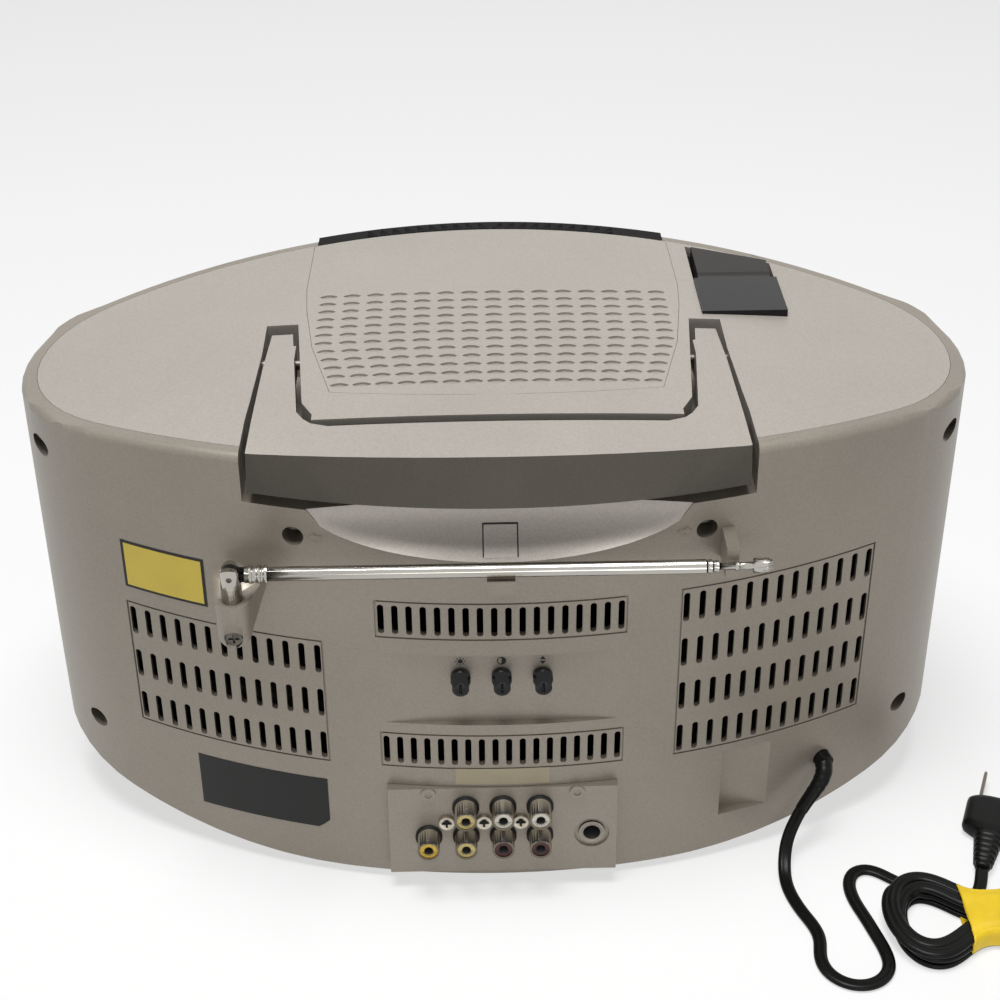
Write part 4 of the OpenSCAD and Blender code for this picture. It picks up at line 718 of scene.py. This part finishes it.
def case_skin(node):
    """A node of the case with the true normals of its curves, so that its flats shade as one curve."""
    o = merged(node)
    mesh = o.data
    if node in ("rear_shell", "front_shell"):
        round_rim(mesh)
        mesh.shade_smooth()
    corners = field(mesh.loops, "vertex_index", np.int32)
    co = field(mesh.vertices, "co", float, 3) / MM - SHIFT
    per_face = field(mesh.polygons, "loop_total", np.int32)
    facing = np.repeat(field(mesh.polygons, "normal", float, 3), per_face, axis=0)
    mesh.normals_split_custom_set(case_normals(co[corners], facing).tolist())
    return o


def round_skin(node):
    """A node whose round faces shade smoothly and whose sharper edges stay sharp."""
    o = merged(node)
    o.data.set_sharp_from_angle(angle=math.radians(SHARP_ANGLE))
    return o


JACK_SPOTS = [(x, z) for x in (14.0, 0.0, -14.0) for z in (34.8, 21.5)] + [(28.2, 21.5)]
SCREW_SPOTS = [(21.3, 28.5), (7.2, 28.5), (-6.7, 28.5)]
BARREL_R, BORE_R, BEADS_X, CROSS_R, CROSS_DEPTH = 4.15, 2.2, 88.3, 1.9, 0.2
# Shares of a normal's y above which a face counts as facing the rear.
FACE_REAR, BAR_REAR = 0.8, 0.6


def paint(o, finish_name, test):
    """Gives a second finish to the faces whose centre (in mm) and normal pass the test."""
    o.data.materials.append(M[finish_name])
    for poly in o.data.polygons:
        if test(np.array(poly.center) / MM - SHIFT, poly.normal):
            poly.material_index = 1


def off_axes(spots, radius):
    """Test for faces farther than a radius from every spot's axis."""
    return lambda c, n: min(math.hypot(c[0] - x, c[2] - z) for x, z in spots) > radius


def near_axes(spots, radius):
    """Test for faces nearer than a radius to some spot's axis."""
    return lambda c, n: min(math.hypot(c[0] - x, c[2] - z) for x, z in spots) < radius


def in_scoop(c, n):
    """Test for the scoop's own surface: its distance from the scoop's axis is R(x)."""
    if abs(c[0]) > SCOOP_HALF or not SCOOP_FIELD[0] < c[2] < SCOOP_FIELD[1] or n[1] < SCOOP_FACING:
        return False
    r = SCOOP_R - SCOOP_ARC + math.sqrt(SCOOP_ARC**2 - c[0] ** 2)
    return abs(math.hypot(c[1] - SCOOP_Y, c[2] - SCOOP_Z) - r) < SCOOP_OFF


for name, obj in frame["nodes"].items():
    obj.data.materials.clear()
    obj.data.materials.append(M[NODE_FINISH[name]])

skins = {}
for name in ("rear_shell", "front_shell", "top_plate", "louvre_panel"):
    skins[name] = case_skin(name)
for name in ("monitor_bezel", "camera_housing", "camera_head", "camera_lens", "rca_shells", "rca_insert_yellow",
             "rca_inserts_beige", "rca_inserts_white", "rca_inserts_red", "headphone_jack", "bright_knob",
             "contrast_knob", "hold_knob", "antenna_bracket", "antenna_base", "antenna_elbow", "antenna_tube_1",
             "antenna_tube_2", "antenna_tube_3", "antenna_rod", "volume_knob", "echo_knob", "back_button",
             "play_button", "forward_button", "stop_button", "mode_button", "power_button", "mic_jacks",
             "case_screws", "jack_screws", "feet", "tray_front", "disc_tray", "spindle", "speaker_grilles",
             "picture_tube", "handle"):
    skins[name] = round_skin(name)
paint(skins["rca_shells"], "black_matte", off_axes(JACK_SPOTS, BARREL_R + 0.25))
paint(skins["headphone_jack"], "silver_lacquer", lambda c, n: n[1] > FACE_REAR and c[1] > REAR_D - 1)
# The bar's faces that turn to the rear get the darker lacquer: painted shade.
paint(skins["handle"], "bar_painted_shade", lambda c, n: n[1] > BAR_REAR)
paint(skins["antenna_elbow"], "chrome", lambda c, n: c[0] < BEADS_X)
# The inserts' bores get the matt black finish: painted shade inside the holes.
for name in ("rca_insert_yellow", "rca_inserts_beige", "rca_inserts_white", "rca_inserts_red"):
    paint(skins[name], "black_matte", near_axes(JACK_SPOTS, BORE_R))
# The cross recesses of the jack screws get the black print finish: painted shade in the recesses.
heads = (np.array(skins["jack_screws"].bound_box)[:, 1].max() / MM - SHIFT[1]) - CROSS_DEPTH
paint(skins["jack_screws"], "print", lambda c, n: c[1] < heads and near_axes(SCREW_SPOTS, CROSS_R)(c, n))
# The scoop, part of the rear shell, gets the paler cover lacquer: a painted highlight where it faces the light
# from above.
paint(skins["rear_shell"], "cover_lacquer", in_scoop)
EDGE_W, EDGE_STEPS, EDGE_ANGLE = 0.0012, 3, 35
soft = skins["handle"].modifiers.new("soft_edges", "BEVEL")
soft.width, soft.segments = EDGE_W, EDGE_STEPS
soft.limit_method, soft.angle_limit = "ANGLE", math.radians(EDGE_ANGLE)
soft.harden_normals = True


# --- foils, print and small mouldings ------------------------------------------------------
TRIM_Y, TRIM_PITCH, MARK_Z, MARK, MARK_PROUD, SUNK = REAR_D - 3.2, 14.9, 99.6, 1.0, 0.08, -0.05


def on_wall(u, v, d):
    """Point d outside the rear wall: x = u, y = wall(u) + d, z = v."""
    return np.stack(np.broadcast_arrays(u, rear_y(u) + d, v), -1)


def on_trim(u, v, d):
    """Point d in front of the flat trim panel."""
    return np.stack(np.broadcast_arrays(u, TRIM_Y + d + 0 * u, v), -1)


def on_scoop(u, v, d):
    """Point d in front of the scoop: y = axis - square root of ((R(u) - d)^2 - (v - axis z)^2)."""
    r = SCOOP_R - SCOOP_ARC + np.sqrt(SCOOP_ARC**2 - u**2) - d
    return np.stack(np.broadcast_arrays(u, SCOOP_Y - np.sqrt(r**2 - (v - SCOOP_Z) ** 2), v), -1)


def foil(x0, x1, z0, z1, place, d, cut=0.0, n=24, m=8):
    """Thin plate over a field of x and z: the lower edge rises by cut towards x0. Front, back and edge."""
    u = np.linspace(x0, x1, n)[:, None]
    low = z0 + np.clip(1 - (u - x0) / max(cut, 1e-6), 0, 1) * cut
    v = low + (z1 - low) * np.linspace(0, 1, m)[None]
    front, back = place(u, v, d), place(u, v, SUNK)
    pts = np.concatenate([front.reshape(-1, 3), back.reshape(-1, 3)])
    faces = grid_faces(n, m) + grid_faces(n, m, start=n * m, flip=True)
    edge = [i * m for i in range(n)] + [(n - 1) * m + j for j in range(1, m)]
    edge += [i * m + m - 1 for i in range(n - 2, -1, -1)] + [j for j in range(m - 2, 0, -1)]
    faces += [[a, b, b + n * m, a + n * m] for a, b in zip(edge, edge[1:] + edge[:1])]
    return pts, faces


def prism(outline, place, d):
    """Flat shape with an outline in x and z, raised by d from a surface."""
    uv = np.asarray(outline, float)
    n = len(uv)
    pts = np.concatenate([place(uv[:, 0], uv[:, 1], d), place(uv[:, 0], uv[:, 1], SUNK)])
    faces = [list(range(n)), list(range(2 * n - 1, n - 1, -1))]
    return pts, faces + [[i, (i + 1) % n, (i + 1) % n + n, i + n] for i in range(n)]


def around(cx, cz, r, a0=0.0, a1=360.0, n=24):
    """Points of an arc about a centre."""
    a = np.radians(np.linspace(a0, a1, n, endpoint=a1 - a0 < 360))
    return np.column_stack([cx + r * np.cos(a), cz + r * np.sin(a)])


def mark(outline, at_x):
    """Printed shape on the trim panel, its outline given about the mark's middle."""
    return prism(np.asarray(outline) * MARK + [at_x, MARK_Z], on_trim, MARK_PROUD)


def ring(cx, cz, r_out, r_in, place, d, n=28):
    """Flat ring as a band of small prisms."""
    o, i = around(cx, cz, r_out, n=n), around(cx, cz, r_in, n=n)
    return join(*[prism([o[k], o[(k + 1) % n], i[(k + 1) % n], i[k]], place, d) for k in range(n)])


def detail(name, parts, finish_name, slot="silver_case"):
    """A small closed piece on the case."""
    return outward(piece(name, *join(*parts), finish_name, slot=slot, smooth=False))


# Foils on the wall: field in x and z, height over the wall, cut corner, finish and slot.
for name, area, proud, cut, look, slot in (
        ("yellow_foil_border", (106.5, 138.5, 113.6, 134.1), 0.18, 0.0, "black_foil", "black_matte"),
        ("yellow_foil", (107.6, 137.4, 114.7, 133.0), 0.24, 0.0, "yellow_foil", "yellow"),
        ("rating_foil", (66.3, 117.0, 18.0, 42.2), 0.2, 4.0, "black_foil", "black_matte"),
        ("beige_foil", (-17.5, 17.5, 44.6, 52.0), 0.14, 0.0, "beige_foil", "beige")):
    detail(name, [foil(*area, on_wall, proud, cut=cut)], look, slot)

# Arrow: half length, the head's start, half widths of shaft and head; two arrows point away from the middle.
ARROW_HALF, ARROW_NECK, SHAFT_HALF, HEAD_HALF = 2.4, 0.2, 0.75, 1.75
ARROW_X, ARROW_Z, ARROW_PROUD = 64.5, 151.2, 0.45
ARROW = np.array([[-ARROW_HALF, SHAFT_HALF], [ARROW_NECK, SHAFT_HALF], [ARROW_NECK, HEAD_HALF],
                  [ARROW_HALF, 0], [ARROW_NECK, -HEAD_HALF], [ARROW_NECK, -SHAFT_HALF],
                  [-ARROW_HALF, -SHAFT_HALF]])
arrows = [prism(ARROW * [s, 1] + [s * ARROW_X, ARROW_Z], on_wall, ARROW_PROUD) for s in (-1, 1)]
detail("moulded_arrows", arrows, "silver_lacquer")

WINDOW_X, WINDOW_LOW, WINDOW_TOP, WINDOW_LINE, LINE_PROUD, WINDOW_PROUD = 6.3, 145.2, 153.9, 0.5, 0.12, 0.3
detail("scoop_window_line", [foil(-WINDOW_X, WINDOW_X, WINDOW_LOW, WINDOW_TOP, on_scoop, LINE_PROUD)],
       "print", "black_matte")
# The window plate takes the scoop's paler lacquer: the same painted highlight.
inner = WINDOW_X - WINDOW_LINE
detail("scoop_window", [foil(-inner, inner, WINDOW_LOW, WINDOW_TOP - WINDOW_LINE, on_scoop, WINDOW_PROUD)],
       "cover_lacquer", "cover")

# Marks over the trim knobs: a sun, a half disc in a ring, and two triangles.
RAY = np.array([[1.25, 0.17], [1.85, 0.17], [1.85, -0.17], [1.25, -0.17]])
RAYS = [RAY @ np.array([[math.cos(a), math.sin(a)], [-math.sin(a), math.cos(a)]])
        for a in np.arange(8) * math.pi / 4]
SUN_R, RING_OUT, RING_IN, DISC_R, TRIANGLE = 0.9, 1.7, 1.35, 1.4, (1.1, 0.35, 1.8)
detail("brightness_mark", [prism(around(TRIM_PITCH, MARK_Z, SUN_R * MARK), on_trim, MARK_PROUD),
                           *[mark(ray, TRIM_PITCH) for ray in RAYS]], "print", "black_matte")
detail("contrast_mark", [ring(0, MARK_Z, RING_OUT * MARK, RING_IN * MARK, on_trim, MARK_PROUD),
                         prism(around(0, MARK_Z, DISC_R * MARK, 90, 270, 16), on_trim, MARK_PROUD)],
       "print", "black_matte")
half, foot, tip = TRIANGLE
triangles = [mark([[-half, foot * s], [half, foot * s], [0, tip * s]], -TRIM_PITCH) for s in (-1, 1)]
detail("hold_mark", triangles, "print", "black_matte")


# --- stage and light -----------------------------------------------------------------------
FLOOR_HALF, FLOOR_GLOW, FLOOR_TONE, SKY_LIGHT = 6, 0.62, 0.9, 0.2


def seen_rays(tree):
    """1 where a ray comes from the camera, a reflection or a transmission, and 0 where it lights."""
    path = add(tree, "ShaderNodeLightPath")
    seen = add(tree, "ShaderNodeMath", {0: (path, "Is Camera Ray"), 1: (path, "Is Glossy Ray")},
               operation="MAXIMUM")
    return add(tree, "ShaderNodeMath", {0: (seen, 0), 1: (path, "Is Transmission Ray")}, operation="MAXIMUM")


def pale_floor():
    """Large square under the feet: part white paper, part glow where it is seen."""
    mesh = bpy.data.meshes.new("floor")
    h = FLOOR_HALF
    mesh.from_pydata([(-h, -h, 0), (h, -h, 0), (h, h, 0), (-h, h, 0)], [], [(0, 1, 2, 3)])
    o = bpy.data.objects.new("floor", mesh)
    scene.collection.objects.link(o)
    mat = bpy.data.materials.new("white_paper_sweep")
    mat.use_nodes = True
    t = mat.node_tree
    t.nodes.clear()
    part = add(t, "ShaderNodeMath", {0: (seen_rays(t), 0), 1: FLOOR_GLOW}, operation="MULTIPLY")
    dull = add(t, "ShaderNodeBsdfDiffuse", {"Color": (FLOOR_TONE, FLOOR_TONE, FLOOR_TONE, 1)})
    glow = add(t, "ShaderNodeEmission", {"Color": (1, 1, 1, 1), "Strength": 1.0})
    mix = add(t, "ShaderNodeMixShader", {0: (part, 0), 1: (dull, 0), 2: (glow, 0)})
    add(t, "ShaderNodeOutputMaterial", {"Surface": (mix, 0)})
    mesh.materials.append(mat)


def surroundings():
    """World: white where it is seen, a softer grey where it lights."""
    world = bpy.data.worlds.new("studio")
    scene.world = world
    world.use_nodes = True
    t = world.node_tree
    t.nodes.clear()
    strength = add(t, "ShaderNodeMapRange", {"Value": (seen_rays(t), 0), "To Min": SKY_LIGHT, "To Max": 1.0})
    bg = add(t, "ShaderNodeBackground", {"Color": (1, 1, 1, 1), "Strength": (strength, 0)})
    add(t, "ShaderNodeOutputWorld", {"Surface": (bg, 0)})


def lamp(name, at, size, power, aim=(0, 0, 0.08)):
    """Square soft lamp at a place, turned to its aim."""
    d = bpy.data.lights.new(name, "AREA")
    d.shape, d.size, d.energy = "SQUARE", size, power
    o = bpy.data.objects.new(name, d)
    scene.collection.objects.link(o)
    back = unit(np.array(at) - np.array(aim))
    right = unit(np.cross([0, 0, 1.0], back))
    m = np.eye(4)
    m[:3, 0], m[:3, 1], m[:3, 2], m[:3, 3] = right, np.cross(back, right), back, at
    o.matrix_world = Matrix(m.tolist())


pale_floor()
surroundings()
lamp("key_overhead", at=(0.1, 0.22, 1.6), size=0.7, power=24)
lamp("fill_low_rear", at=(-0.2, 1.7, 0.12), size=0.8, power=7)
